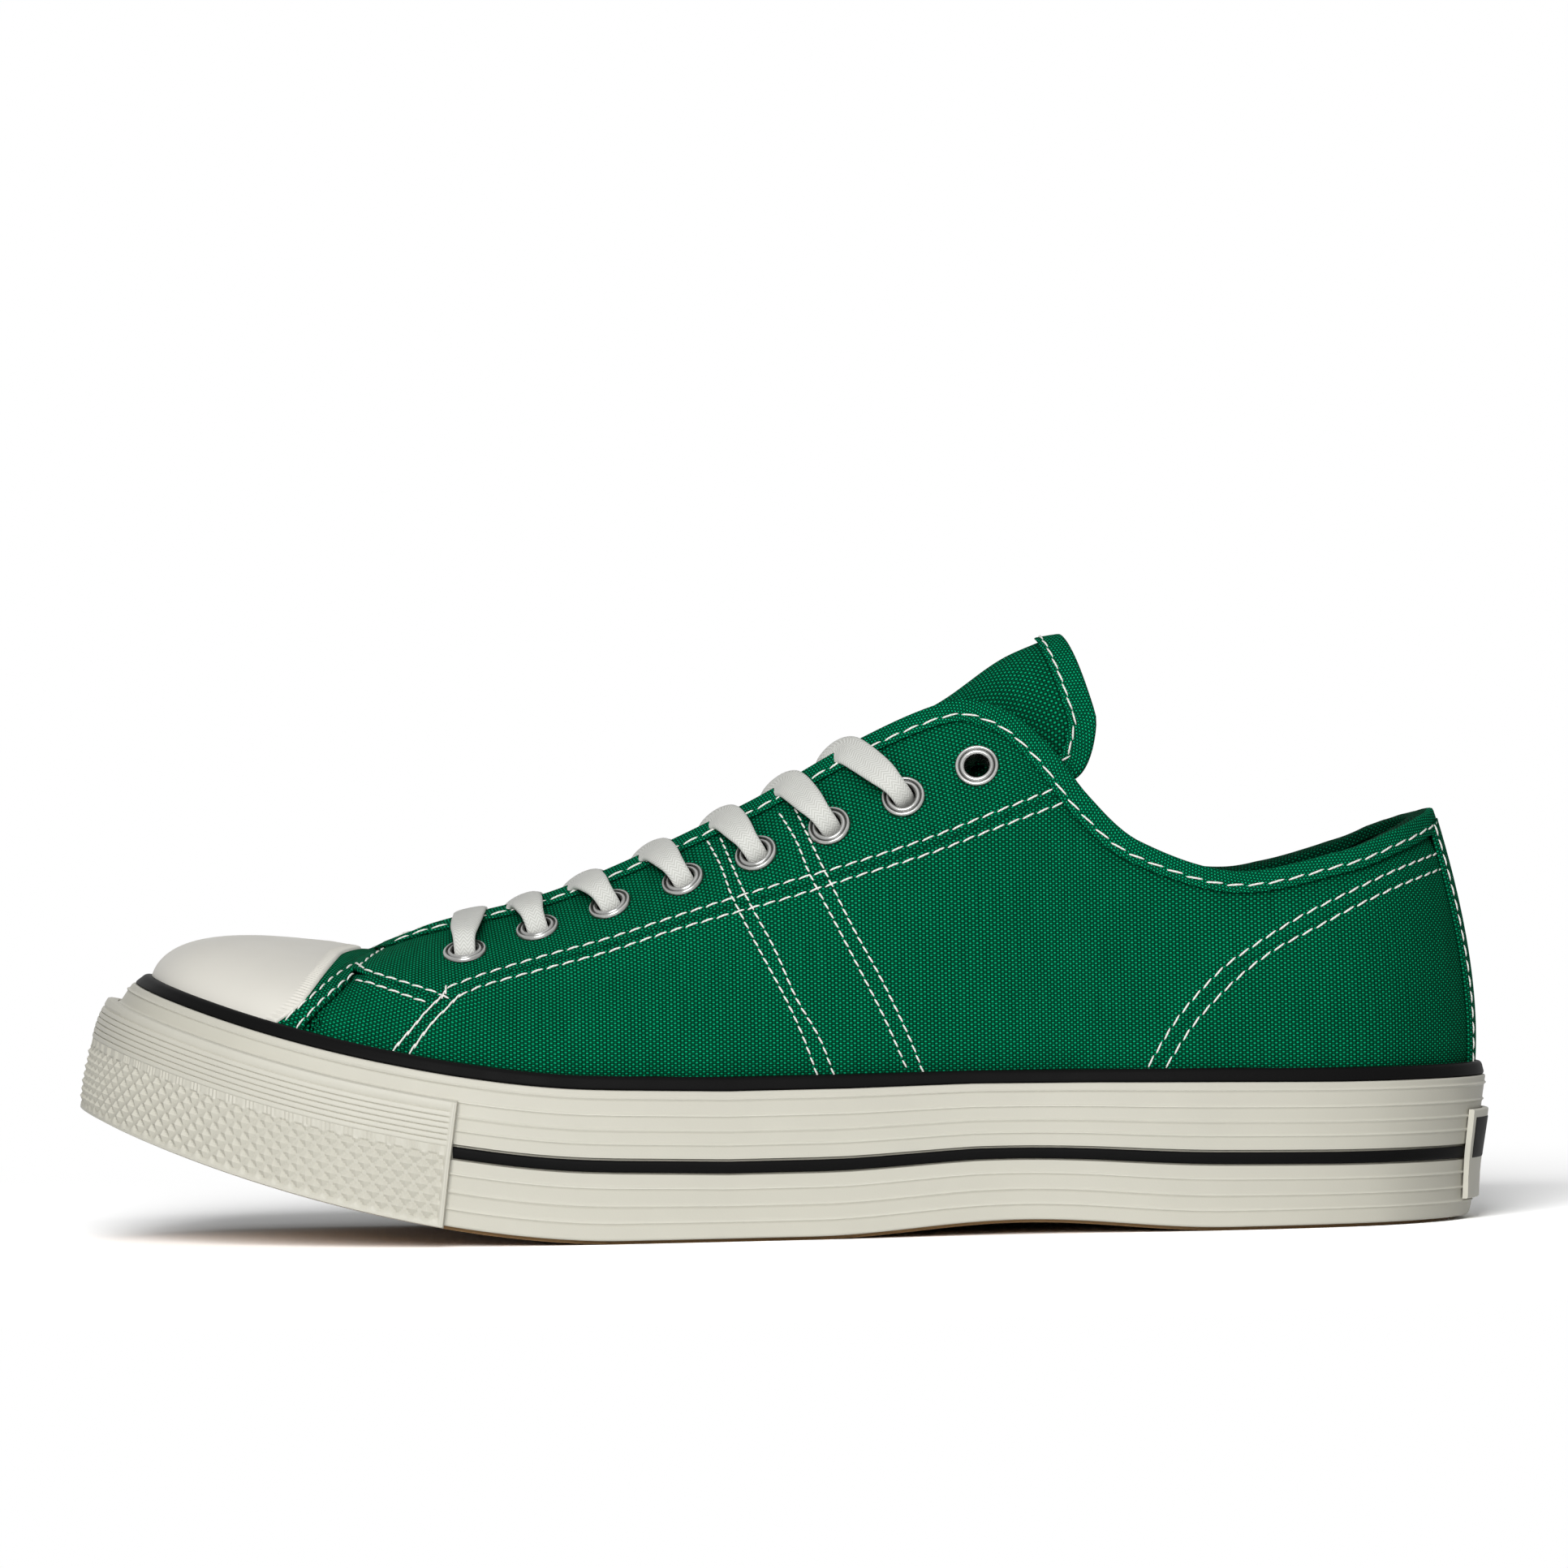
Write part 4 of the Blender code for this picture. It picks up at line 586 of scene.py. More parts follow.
def laceMaterial(name):  # flat braid: chevrons of fine strands
    made, shader = newMaterial(name, 0.8, 0.12)
    w = Wiring(made)
    place, u, v = w.flat()
    fold = w.math("PINGPONG", v, 0.0012)
    lean = w.math("ADD", w.math("MULTIPLY", u, 2 * math.pi / 0.00075),
                  w.math("MULTIPLY", fold, 2 * math.pi / 0.0009))
    line = w.math("MULTIPLY_ADD", w.math("SINE", lean), 0.5, 0.5)
    tone = w.ramp(line,
                  [(0.0, (0.50, 0.50, 0.465)), (0.6, (0.645, 0.65, 0.615)), (1.0, (0.68, 0.685, 0.65))])
    tone = w.tint(tone, w.noise(place, 700, 3), 0.94, 1.06)
    w.link(tone, shader.inputs["Base Color"])
    shader.inputs["Sheen Weight"].default_value = 0.15
    w.link(w.bump(line, 0.00010, 0.5), shader.inputs["Normal"])
    return made


def metalMaterial(name):
    made, shader = newMaterial(name, 0.22, 0.5, 1.0)
    w = Wiring(made)
    place = w.objectPlace()
    tone = w.ramp(w.noise(place, 300, 3), [(0.3, (0.30, 0.30, 0.29)), (0.7, (0.40, 0.40, 0.39))])
    # painted shade: ambient occlusion darkens the metal in the eyelet's groove and barrel
    tone = w.tint(tone, w.paintedShade(0.0012), 0.15, 1.0)
    w.link(tone, shader.inputs["Base Color"])
    w.link(w.between(w.noise(place, 900, 3), 0.20, 0.34), shader.inputs["Roughness"])
    return made


green = canvasMaterial("greenCanvas")
greenFacing = canvasMaterial("greenCanvasFacing", 8.0)
# painted shade: strong ambient occlusion darkens the tongue where the eyestays cover it, so the eyelet holes
# look dark
greenTongue = canvasMaterial("tongueCanvas", paintedShade=(0.020, 0.05))
# painted shade: the lining's tone is 0.32 of the canvas and darkens strongly by ambient occlusion, for the
# shade inside the shoe
liningPaintedShade = canvasMaterial("liningCanvasPaintedShade", 0.0, 0.32, paintedShade=(0.040, 0.06))
greenTape = canvasMaterial("greenTape", 45.0, 1.14, 0.82)
whiteRubber = rubberMaterial("whiteRubber", (0.595, 0.58, 0.505), (0.345, 0.33, 0.27), 0.5)
capRubber = rubberMaterial("capRubber", (0.68, 0.66, 0.60), (0.50, 0.48, 0.42), 0.42)
blackRubber = rubberMaterial("blackRubber", (0.005, 0.005, 0.005), (0.003, 0.003, 0.003), 0.5, 0.03)
tanRubber = rubberMaterial("tanRubber", (0.36, 0.21, 0.09), (0.14, 0.08, 0.035), 0.6)
cotton = rubberMaterial("insoleCotton", (0.62, 0.60, 0.52), (0.45, 0.43, 0.36), 0.9, 0.1)
filler = rubberMaterial("fillerBoard", (0.50, 0.48, 0.42), (0.35, 0.33, 0.28), 0.9, 0.1)
tip = rubberMaterial("lacePlastic", (0.72, 0.72, 0.69), (0.6, 0.6, 0.57), 0.25, 0.5)
thread = threadMaterial("whiteThread", (0.88, 0.87, 0.82), 0.0008)
laceCotton = laceMaterial("laceBraid")
brightMetal = metalMaterial("eyeletMetal")
print("materials made")

# seams as the side view shows them, in millimetres
facingSeam = locate([(-90.5, 59.1), (-80, 55.3), (-70.0, 52.6), (-63.4, 56.3), (-50.1, 59.9),
                     (-36.8, 63.2), (-23.4, 67.3),
                     (-10.1, 71.1), (3.2, 74.7), (16.0, 78.3), (31.6, 83), (44.9, 87.9), (61, 94),
                     (66, 96)], 0.0009)
counterSeam = locate([(74.8, 33.0), (78.9, 35), (85.9, 45.4), (94.6, 54.4), (107, 61.8), (119, 68),
                      (130, 73), (141.5, 77.8)], 0.0009)
vampSeam = locate([(-85.5, 36), (-81.3, 41.4), (-77.3, 46.6), (-72.5, 51.6), (-70.0, 54.5)], 0.0004)
tuckIn = -0.16  # how far the panels reach down behind the sole's band
heelMiddle = last["crestEnd"]
facingEnd = float(facingSeam[0].max())
counterStart = float(counterSeam[0].min())


def facingClimb(q):
    return np.where(q > facingEnd, 1.0, climbOn(facingSeam, q))


def counterClimb(q):
    slope = (counterSeam[1][4] - counterSeam[1][0]) / (counterSeam[0][4] - counterSeam[0][0])
    ahead = counterSeam[1][0] + (q - counterStart) * slope
    return np.maximum(np.where(q < counterStart, ahead, climbOn(counterSeam, q)), tuckIn)


def flushOffset(side, q, v):  # the panels lie flush: the cloth rises towards each seam
    length = sectionLength(side, q)
    upper = (v - facingClimb(q)) * length
    lower = (counterClimb(q) - v) * length
    lower = np.where(q < counterStart - 0.012, -1.0, lower)
    rise = np.maximum(smoothStep((upper + 0.009) / 0.009), smoothStep((lower + 0.012) / 0.012))
    return level["facing"] * rise


def sidePanel(name, side, rows, low, high, columns, material, nodes, shear=None, offset=flushOffset):
    t = np.linspace(0, 1, columns)[None, :]
    q = np.broadcast_to(rows[:, None], (len(rows), columns)).copy()
    v = low(q) + (high(q) - low(q)) * t
    for _ in range(4):
        if shear is not None:
            q = shear(rows[:, None], v)
        v = low(q) + (high(q) - low(q)) * t
    points = onUpper(side, q, v, offset(side, q, v))
    piece = addPiece(name, gridMesh(name, points, flatPlace(side, q, v)), material, "shoe",
                     nodes)
    thicken(piece, clothThickness["panel"])
    return piece


def vampShear(rows, v):
    start = sectionOn(vampSeam, v)
    fade = 1 - smoothStep((rows - start.min()) / 0.040)
    return np.maximum(rows + (start - start.min()) * fade, last["crestStart"])


# quarters, eyestays and heel counters
for word, side in sides.items():
    low = word.lower()
    vampStart = float(sectionOn(vampSeam, np.linspace(tuckIn, 1, 40)).min())
    sidePanel(f"quarter{word}", side, sectionsFrom(vampStart, heelMiddle, 200), counterClimb, facingClimb, 44,
              green, [f"quarter_{low}", f"saddle_strap_{low}"], vampShear)
    sidePanel(f"eyestay{word}", side, sectionsFrom(last["throatX"] + 0.0002, facingEnd, 150), facingClimb,
              lambda q: np.ones_like(q), 26, greenFacing, [f"eyestay_{low}"])
    counter = sidePanel(f"heelCounter{word}", side, sectionsFrom(counterStart - 0.004, heelMiddle, 90),
                        lambda q: np.full_like(q, tuckIn), counterClimb, 36, green, [f"heel_counter_{low}"])
    if side == outerSide:
        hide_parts("heel_stiffener")
print("sides made")


# vamp, toe band and toe cap: the band's front and rear edges as the side view shows them
capSeam = locate([(-93.3, 63.0), (-96.3, 59.5), (-98.4, 56.7), (-101.5, 52.2), (-103.7, 49.4),
                  (-105.4, 47.3)], 0.0015)
foldSeam = locate([(-91.4, 57.6), (-94.8, 54.1), (-98.0, 51.2), (-100.6, 48.2), (-101.9, 46.1)], 0.0008)
bandShape = {"cap": -0.0895, "throat": -0.0853}


def edgeLine(seam, top, v):  # section of a seam at climb v, carried on to the crest
    order = np.argsort(seam[1])
    return np.interp(v, np.append(seam[1][order], 1.0), np.append(seam[0][order], top))


def capLine(v):
    return edgeLine(capSeam, bandShape["cap"], v)


def foldLine(v):
    return np.maximum(edgeLine(foldSeam, bandShape["throat"], v), capLine(v) + 0.0015)


def vampReach(rows, v):
    start, end = foldLine(v) - 0.0015, sectionOn(vampSeam, v)
    return start + (end - start) * rows


def vampOffset(side, q, v):
    return flushOffset(side, q, v) * smoothStep((q - foldLine(v)) / 0.003)


for word, side in sides.items():
    sidePanel(f"vamp{word}", side, np.linspace(0, 1, 40), lambda q: np.full_like(q, tuckIn),
              lambda q: np.where(q < last["throatX"], 1.0, facingClimb(q)), 40, green,
              ["vamp"] if side == outerSide else [], vampReach, vampOffset)
print("vamp made")


def overCrest(name, share, climbs, ends, offsets, material, nodes, thickness):
    halves = []
    for side in (outerSide, innerSide):
        v = np.broadcast_to(climbs[None, :], (len(share), len(climbs)))
        start, end = ends
        q = start(v) + (end(v) - start(v)) * share[:, None]
        halves.append((onUpper(side, q, v, offsets[:, None] + 0 * v), flatPlace(side, q, v)))
    (left, leftFlat), (right, rightFlat) = halves
    left[:, -1] = (left[:, -1] + right[:, -1]) / 2
    rightFlat = rightFlat * (-1, -1) + (0, 2) * rightFlat[:, -1:]
    points = np.concatenate([left, right[:, -2::-1]], 1)
    flat = np.concatenate([leftFlat, rightFlat[:, -2::-1]], 1)
    piece = addPiece(name, gridMesh(name, points, flat), material, "shoe", nodes)
    thicken(piece, thickness)


climbs = np.concatenate([np.linspace(tuckIn, 0, 4)[:-1], np.linspace(0, 1, 60)])
share = np.array([0, 0.12, 0.3, 0.5, 0.7, 0.85, 0.94, 0.98, 1.0])
offsets = np.array([1.05, 1.15, 1.25, 1.25, 1.25, 1.2, 1.05, 0.7, 0.2]) / 1000
overCrest("toeBand", share, climbs, (lambda v: capLine(v) - 0.0002, foldLine), offsets, green,
          ["toe_band"], clothThickness["band"])


ribShape = {"pitch": 0.0009, "height": 0.00012, "from": 0.0005, "to": 0.0030, "fade": 0.0004,
            "columns": 300}
capShape = {"thickness": 0.0010, "full": 0.0008, "fullFrom": 0.0300, "roll": 0.0007, "rollWidth": 0.0006}


def makeToeCap():
    whole = bandShape["cap"] - last["crestStart"]
    lines = sectionsFrom(last["crestStart"], bandShape["cap"] - 0.0016, 50)
    near = np.array([15, 13.5, 12, 10.5, 9, 8, 7, 6, 5, 4.2, 3.4, 2.6, 1.9, 1.3, 0.8, 0.4, 0.15,
                     0]) * 0.0001
    share = np.concatenate([(lines - last["crestStart"]) / whole, 1 - near / whole])
    v = np.concatenate([np.linspace(tuckIn, 0, 4)[:-1], np.linspace(0, 1, ribShape["columns"])])
    rows, flats = [], []
    for side, order in ((innerSide, slice(None, 0, -1)), (outerSide, slice(None))):
        q = last["crestStart"] + (capLine(v)[None, :] - last["crestStart"]) * share[:, None]
        flat = flatPlace(side, q, v[None, :])
        bare = onUpper(side, q, v[None, :], level["cap"] + 0 * q)
        run = np.linalg.norm(np.diff(bare, axis=0), axis=2)[::-1].cumsum(0)[::-1]
        edge = np.concatenate([run, np.zeros((1, len(v)))])
        strip = smoothStep((edge - ribShape["from"]) / ribShape["fade"])
        strip = strip * smoothStep((ribShape["to"] - edge) / ribShape["fade"])
        lift = ribShape["height"] * np.cos(2 * math.pi * flat[..., 1] / ribShape["pitch"]) * strip
        rise = smoothStep(1.6 * v)[None, :]
        lift = lift + capShape["full"] * smoothStep(edge / capShape["fullFrom"]) * rise
        lift = lift - capShape["roll"] * np.clip(1 - edge / capShape["rollWidth"], 0, 1) ** 2
        rows.append(onUpper(side, q, v[None, :], level["cap"] + lift)[order])
        flats.append(flat[order])
    points, flat = np.concatenate(rows), np.concatenate(flats)
    count = len(share)
    for k in range(count):  # the two sides meet on the crest
        inner, outer = count - 1 - k, count - 1 + k
        points[inner, -1] = points[outer, -1] = (points[inner, -1] + points[outer, -1]) / 2
    piece = addPiece("toeCap", gridMesh("toeCap", points, flat, np.ones(points.shape[:2])), capRubber,
                     "shoe", ["toe_cap"])
    thicken(piece, capShape["thickness"])


makeToeCap()
print("toe made")


# sole
foxingShape = {"beads": (0.0298, 0.0263, 0.0231, 0.0202, 0.0110, 0.0075, 0.0043), "beadHeight": 0.00038,
               "beadWidth": 0.00024, "inside": 0.0019, "lift": 0.0008, "stripe": (0.0142, 0.0167),
               "sink": 0.00075}
flareShape = {"toe": 0.0104, "side": 0.0015, "heelTuck": 0.0030, "power": 1.8, "crown": 0.0012,
              "heelCrown": 0.0006, "heelRound": 0.0012}
topLineShape = {"reach": (0.0012, 0.0037), "sink": 0.0003, "height": 0.0026, "corner": 0.0007,
                "lean": 0.0007, "toeLean": 0.0019}


def onWall(side, q, offset, height, flared=1.0):
    foot, out = soleEdge(side, q)
    x = soleEdge(outerSide, q)[0][..., 0]
    flare = flareShape["side"] + (flareShape["toe"] - flareShape["side"]) * toeShare(x) ** 2
    flare = flare - (flareShape["heelTuck"] + flareShape["side"]) * heelShare(x) ** 2
    rise = np.minimum(height / last["foxingHeight"], 1) ** flareShape["power"]
    crown = flareShape["crown"] * toeShare(x) ** 2 + flareShape["heelCrown"] * heelShare(x) ** 2
    crown = flared * crown * smoothStep((height - 0.010) / 0.014)
    heelIn = flareShape["heelRound"] * heelShare(x) ** 2
    crown = crown - flared * heelIn * np.clip(1 - height / 0.004, 0, 1) ** 2
    plan = foot + out * (offset + flared * flare * (1 - rise) + crown)[..., None]
    swell = np.interp(plan[..., 0], *np.transpose(bandWave)) * smoothStep(height / 0.014)
    return np.concatenate([plan, (groundAt(plan[..., 0], height) + swell)[..., None]], -1)


def bandPoints(loop, profile):  # loop of (side, sections), profile of (offset, height) arrays
    offset, height = profile
    parts = [onWall(side, np.broadcast_to(q[:, None], (len(q), len(height))),
                    offset[None, :] + np.zeros((len(q), 1)), height[None, :] + np.zeros((len(q), 1)))
             for side, q in loop]
    return np.concatenate(parts)


def wholeLoop(count):
    lines = sectionsFrom(last["crestStart"], last["crestEnd"], count)
    return [(outerSide, lines), (innerSide, lines[::-1][1:])]


def roundedProfile(inside, outside, low, high, corner, steps, relief):
    heights = np.arange(low + corner, high - corner, steps)
    turn = np.linspace(0, math.pi / 2, 4)
    bottom = [(outside - corner * (1 - math.sin(a)), low + corner * (1 - math.cos(a))) for a in turn[:-1]]
    top = [(outside - corner * (1 - math.cos(a)), high - corner * (1 - math.sin(a))) for a in turn]
    face = [(outside, h) for h in heights]
    ring = np.array([(inside, low), *bottom, *face, *top, (inside, high), (inside, (low + high) / 2),
                     (inside, low)])
    lift = relief(ring[:, 1]) * (np.abs(ring[:, 0] - outside) < 1e-9)
    return ring[:, 0] + lift, ring[:, 1], lift


def plainFace(h):
    return 0 * h


def foxingRelief(h):
    lift = sum(foxingShape["beadHeight"] * np.exp(-((h - bead) / foxingShape["beadWidth"]) ** 2)
               for bead in foxingShape["beads"])
    low, high = foxingShape["stripe"]
    return np.where((h > low - gap) & (h < high + gap), -foxingShape["sink"], lift)


def makeFoxing():
    offset, height, lift = roundedProfile(foxingShape["inside"], level["foxing"], foxingShape["lift"],
                                          last["foxingHeight"], 0.0004, 0.00018, foxingRelief)
    points = bandPoints(wholeLoop(170), (offset, height))
    # painted shade: the foxing's tone is darker between its beads and full on the bead tops
    relief = np.clip(0.62 + lift / 0.0006, 0, 1)[None, :]
    addPiece("foxing", gridMesh("foxing", points, runLengths(points), relief, True), whiteRubber, "shoe",
             ["foxing"])
    base = last["foxingHeight"] + gap
    low, high = base - topLineShape["sink"], base + topLineShape["height"]
    offset, height, _ = roundedProfile(*topLineShape["reach"], low, high, topLineShape["corner"], 0.0004,
                                       plainFace)
    rise = (height - low) / (high - low)
    parts = []
    for side, lines in wholeLoop(170):
        toe = toeShare(soleEdge(outerSide, lines)[0][:, 0]) ** 2
        lean = topLineShape["lean"] + topLineShape["toeLean"] * toe
        parts.append(onWall(side, np.broadcast_to(lines[:, None], (len(lines), len(height))),
                            offset - lean[:, None] * rise, height + 0 * lean[:, None]))
    points = np.concatenate(parts)
    addPiece("topLine", gridMesh("topLine", points, runLengths(points), np.ones((1, 1)), True),
             blackRubber, "shoe", ["top_line"])


makeFoxing()
bumperShape = {"end": -0.0700, "thickness": 0.0020, "height": 0.0265, "lip": 0.0241, "ribs": 6,
               "ribsTo": 0.0166,
               "hatchTo": 0.0150, "pyramid": 0.0037, "row": 0.0017, "proud": 0.00085, "sink": 0.0006,
               "foot": 0.0014, "low": 0.0002, "lean": 0.092}


def bumperRelief(s, h):
    b = bumperShape
    pitch = (b["lip"] - b["ribsTo"]) / b["ribs"]
    place = (b["lip"] - h) / pitch
    wave = place - np.floor(place)
    rib = 0.00030 * (1 - (2 * wave - 1) ** 6) - 0.00030
    rib = np.where((h < b["lip"] + 1e-6) & (h > b["ribsTo"]), rib, 0)
    top = b["hatchTo"]
    a = s / b["pyramid"] + (top - h) / (2 * b["row"])
    c = s / b["pyramid"] - (top - h) / (2 * b["row"])
    near = np.maximum(np.abs(a - np.floor(a) - 0.5), np.abs(c - np.floor(c) - 0.5)) * 2
    cone = b["proud"] * (1 - near) - b["sink"]
    inside = (h < top - 1e-6) & (h > b["foot"])
    hatch = 0.00010 * np.sin(2 * math.pi * s / 0.00084) - 0.0002
    relief = np.where(inside, cone, np.where((h <= b["ribsTo"]) & (h >= top - 1e-6), hatch, rib))
    return np.where(h < b["foot"], 0.00005, relief)


def makeBumper():
    b = bumperShape
    end = float(sectionOf(b["end"]))
    front = sectionsFrom(last["crestStart"], end, 400)
    dense = onWall(outerSide, front, np.full(400, 0.006), np.full(400, 0.010))
    run = runAlong(dense)
    step = b["pyramid"] / 8
    s = np.concatenate([np.arange(0, run[-1] - 0.0013, step),
                        run[-1] - np.array([12, 9, 7, 5, 3, 0]) * 0.0001])
    q = np.interp(s, run, front)
    face = np.concatenate([np.arange(b["low"] + 0.0003, b["foot"], 0.0003),
                           b["hatchTo"] - b["row"] / 4 * np.arange(31, -1, -1),
                           np.array([0.0155, 0.0161]), np.linspace(b["ribsTo"], b["lip"], 6 * 10 + 1),
                           np.array([0.0248, 0.0256, 0.0261])])
    inner = level["foxing"] + 1.5 * gap
    outer = inner + b["thickness"]
    lines, marks = [], []
    for side in (innerSide, outerSide):
        grid = bumperRelief(s[:, None], face[None, :])
        atEnd = run[-1] - s[:, None]
        endBead = 0.00025 * np.exp(-((atEnd - 0.0006) / 0.0003) ** 2)
        grid = grid * smoothStep((atEnd - 0.0010) / 0.0004) + endBead
        offset = np.concatenate([np.full((len(s), 1), inner), outer + grid,
                                 np.full((len(s), 1), outer - 0.0003),
                                 np.full((len(s), 1), outer - 0.0009), np.full((len(s), 3), inner)], 1)
        height = np.concatenate([[b["low"]], face, [0.02635, 0.0265, 0.0265, 0.0140, b["low"]]])
        lean = b["lean"] * (height - b["height"] / 2) * smoothStep((s[:, None] - run[-1] + 0.015) / 0.015)
        points = onWall(side, q[:, None] + lean, offset, np.broadcast_to(height[None, :], offset.shape))
        # painted shade: the bumper's tone follows its relief, darker in the valleys between pyramids and ribs
        # and on its inner faces
        mark = np.concatenate([np.full((len(s), 1), 0.6), 0.80 + grid / 0.0022, np.full((len(s), 5), 0.8)],
                              1)
        lines.append(points[::-1][:-1] if side == innerSide else points)
        marks.append(mark[::-1][:-1] if side == innerSide else mark)
    points = np.concatenate(lines)
    mesh = gridMesh("toeBumper", points, runLengths(points), np.clip(np.concatenate(marks), 0, 1), True,
                    capped=True)
    addPiece("toeBumper", mesh, whiteRubber, "shoe", ["toe_bumper"], 28)


makeBumper()
stripeShape = {"from": -0.0696, "proud": 0.0002, "toLabel": 0.0004, "inside": 0.0006, "corner": 0.0005}
labelShape = {"halfWidth": 0.0106, "low": 0.0048, "high": 0.0245, "thickness": 0.0013, "frame": 0.0016,
              "panel": 0.0092, "panelProud": 0.00012, "corner": 0.0004}


def makeStripes():
    low, high = foxingShape["stripe"]
    end = float(heelSection(labelShape["halfWidth"] + stripeShape["toLabel"]))
    lines = sectionsFrom(float(sectionOf(stripeShape["from"])), end, 110)
    inside, outside = level["foxing"] - stripeShape["inside"], level["foxing"] + stripeShape["proud"]
    offset, height, _ = roundedProfile(inside, outside, low, high, stripeShape["corner"], 0.0005, plainFace)
    for word, side in sides.items():
        points = bandPoints([(side, lines)], (offset, height))
        mesh = gridMesh(f"sideStripe{word}", points, runLengths(points), np.ones((1, 1)), True, capped=True)
        addPiece(f"sideStripe{word}", mesh, blackRubber, "shoe",
                 [f"side_stripe_{word.lower()}"])


makeStripes()


def makeLabel():
    tab = float(heelSection(labelShape["halfWidth"]))
    back = sectionsFrom(tab, last["crestEnd"], 30)
    inner = level["foxing"] + gap
    for name, material, slot, low, high, proud, inset in (
            ("heelLabel", whiteRubber, "white_rubber", labelShape["low"], labelShape["high"],
             labelShape["thickness"], 0),
            ("heelLabelPanel", blackRubber, "black_rubber", labelShape["low"] + labelShape["panel"],
             labelShape["high"] - labelShape["frame"], labelShape["thickness"] + labelShape["panelProud"],
             3)):
        loop = [(outerSide, back[inset:]), (innerSide, back[inset:][::-1][1:])]
        offset, height, _ = roundedProfile(inner, inner + proud, low, high, labelShape["corner"], 0.0012,
                                           plainFace)
        points = bandPoints(loop, (offset, height))
        mesh = gridMesh(name, points, runLengths(points), np.ones((1, 1)), True, capped=True)
        addPiece(name, mesh, material, "shoe", ["heel_label"] if not inset else [])


makeLabel()
print("sole bands made")


def layerGrid(offset, flared, height, rows, columns):
    lines = sectionsFrom(last["crestStart"], last["crestEnd"], rows)
    left, right = (onWall(side, lines, np.full(rows, offset), np.full(rows, height), flared)[:, None]
                   for side in (outerSide, innerSide))
    grid = left + (right - left) * np.linspace(0, 1, columns)[:, None]
    grid[..., 2] = groundAt(grid[..., 0], height)
    return grid


treadShape = {"from": -0.1180, "to": 0.1280, "pitch": 0.0130, "groove": 0.0045, "wall": 0.0005,
              "depth": 0.0012,
              "rim": 0.0050, "zig": 0.0025, "slit": 0.0007, "slitDepth": 0.00035,
              "offset": 0.0007, "top": 0.0049}


def treadCut(x, share, edge):  # depth of the grooves and of the thin slits between them
    t = treadShape
    zig = np.interp(share, [0.08, 0.29, 0.5, 0.71, 0.92], [0, 1, -1, 1, 0]) * t["zig"]
    along = x - zig - t["from"]
    place = along % t["pitch"]
    groove = t["depth"] * np.clip(np.minimum(place, t["groove"] - place) / t["wall"], 0, 1)
    slits = (t["groove"] + (t["pitch"] - t["groove"]) * share for share in (1 / 3, 2 / 3))
    near = np.minimum(*(np.abs(place - slit) for slit in slits))
    slit = t["slitDepth"] * np.clip((t["slit"] - near) / 0.0004, 0, 1)
    inside = (along > 0) & (along < t["to"] - t["from"])
    return np.maximum(groove, slit) * inside * smoothStep((edge - t["rim"]) / t["wall"])


def makeOutsole():
    rows, columns = 520, 56
    grid = layerGrid(treadShape["offset"], 1.0, 0.0, rows, columns)
    foot = soleEdge(outerSide, sectionsFrom(last["crestStart"], last["crestEnd"], rows))[0][:, :1]
    edge = np.minimum(np.linalg.norm(grid - grid[:, :1], axis=2),
                      np.linalg.norm(grid - grid[:, -1:], axis=2))
    cut = treadCut(foot, np.linspace(0, 1, columns)[None, :], edge)
    grid[..., 2] += cut
    cut = cut / treadShape["depth"]
    # painted shade: the outsole's tone darkens in its tread grooves
    mesh = gridMesh("outsole", grid, runLengths(grid), 1 - 0.8 * cut)
    bm = bmesh.new()
    bm.from_mesh(mesh)
    raised = bmesh.ops.extrude_face_region(bm, geom=bm.faces[:])["geom"]
    for vert in raised:
        if isinstance(vert, bmesh.types.BMVert):
            vert.co.z = groundAt(vert.co.x, treadShape["top"])
    bmesh.ops.recalc_face_normals(bm, faces=bm.faces)
    if bm.calc_volume(signed=True) < 0:
        bmesh.ops.reverse_faces(bm, faces=bm.faces)
    bm.to_mesh(mesh)
    bm.free()
    addPiece("outsole", mesh, tanRubber, "shoe", ["outsole"])


makeOutsole()


insoleShape = {"offset": -0.0045, "top": 0.01855, "thickness": 0.0038}


def makeInsole():
    grid = layerGrid(insoleShape["offset"], 0.0, insoleShape["top"], 120, 40)
    mesh = gridMesh("insole", grid, runLengths(grid), np.ones((1, 1)))
    piece = addPiece("insole", mesh, cotton, "shoe", ["insole"])
    thicken(piece, insoleShape["thickness"])


makeInsole()
paintNodes(filler, "midsole", "insole_board")
print("sole made")


# linings, close rows where the eyelets pierce them
def makeLining(name, side, lines, nodes):
    v = np.concatenate([np.linspace(-0.7, 0.40, 14), np.linspace(0.43, 0.995, 46)])
    q = lines[:, None]
    points = onUpper(side, q, v, np.full((len(lines), len(v)), level["lining"] + clothThickness["lining"]))
    mesh = gridMesh("lining", points, flatPlace(side, q, v))
    thicken(addPiece(name, mesh, liningPaintedShade, "shoe", nodes), clothThickness["lining"])


for word, side in sides.items():
    makeLining(f"quarterLining{word}", side, sectionsFrom(last["throatX"] + 0.0004, heelMiddle, 200),
               [f"quarter_lining_{word.lower()}"])
    makeLining(f"vampLining{word}", side, sectionsFrom(last["crestStart"], last["throatX"], 40),
               ["vamp_lining"] if side == outerSide else [])
print("linings made")

# binding tape folded over the top edge
bindingShape = {"outer": [(0.060, 0.0047), (0.085, 0.0038)], "row": [(0.060, 0.0034), (0.085, 0.0023)],
                "atThroat": 0.0012, "inner": 0.0014, "thickness": 0.0006}


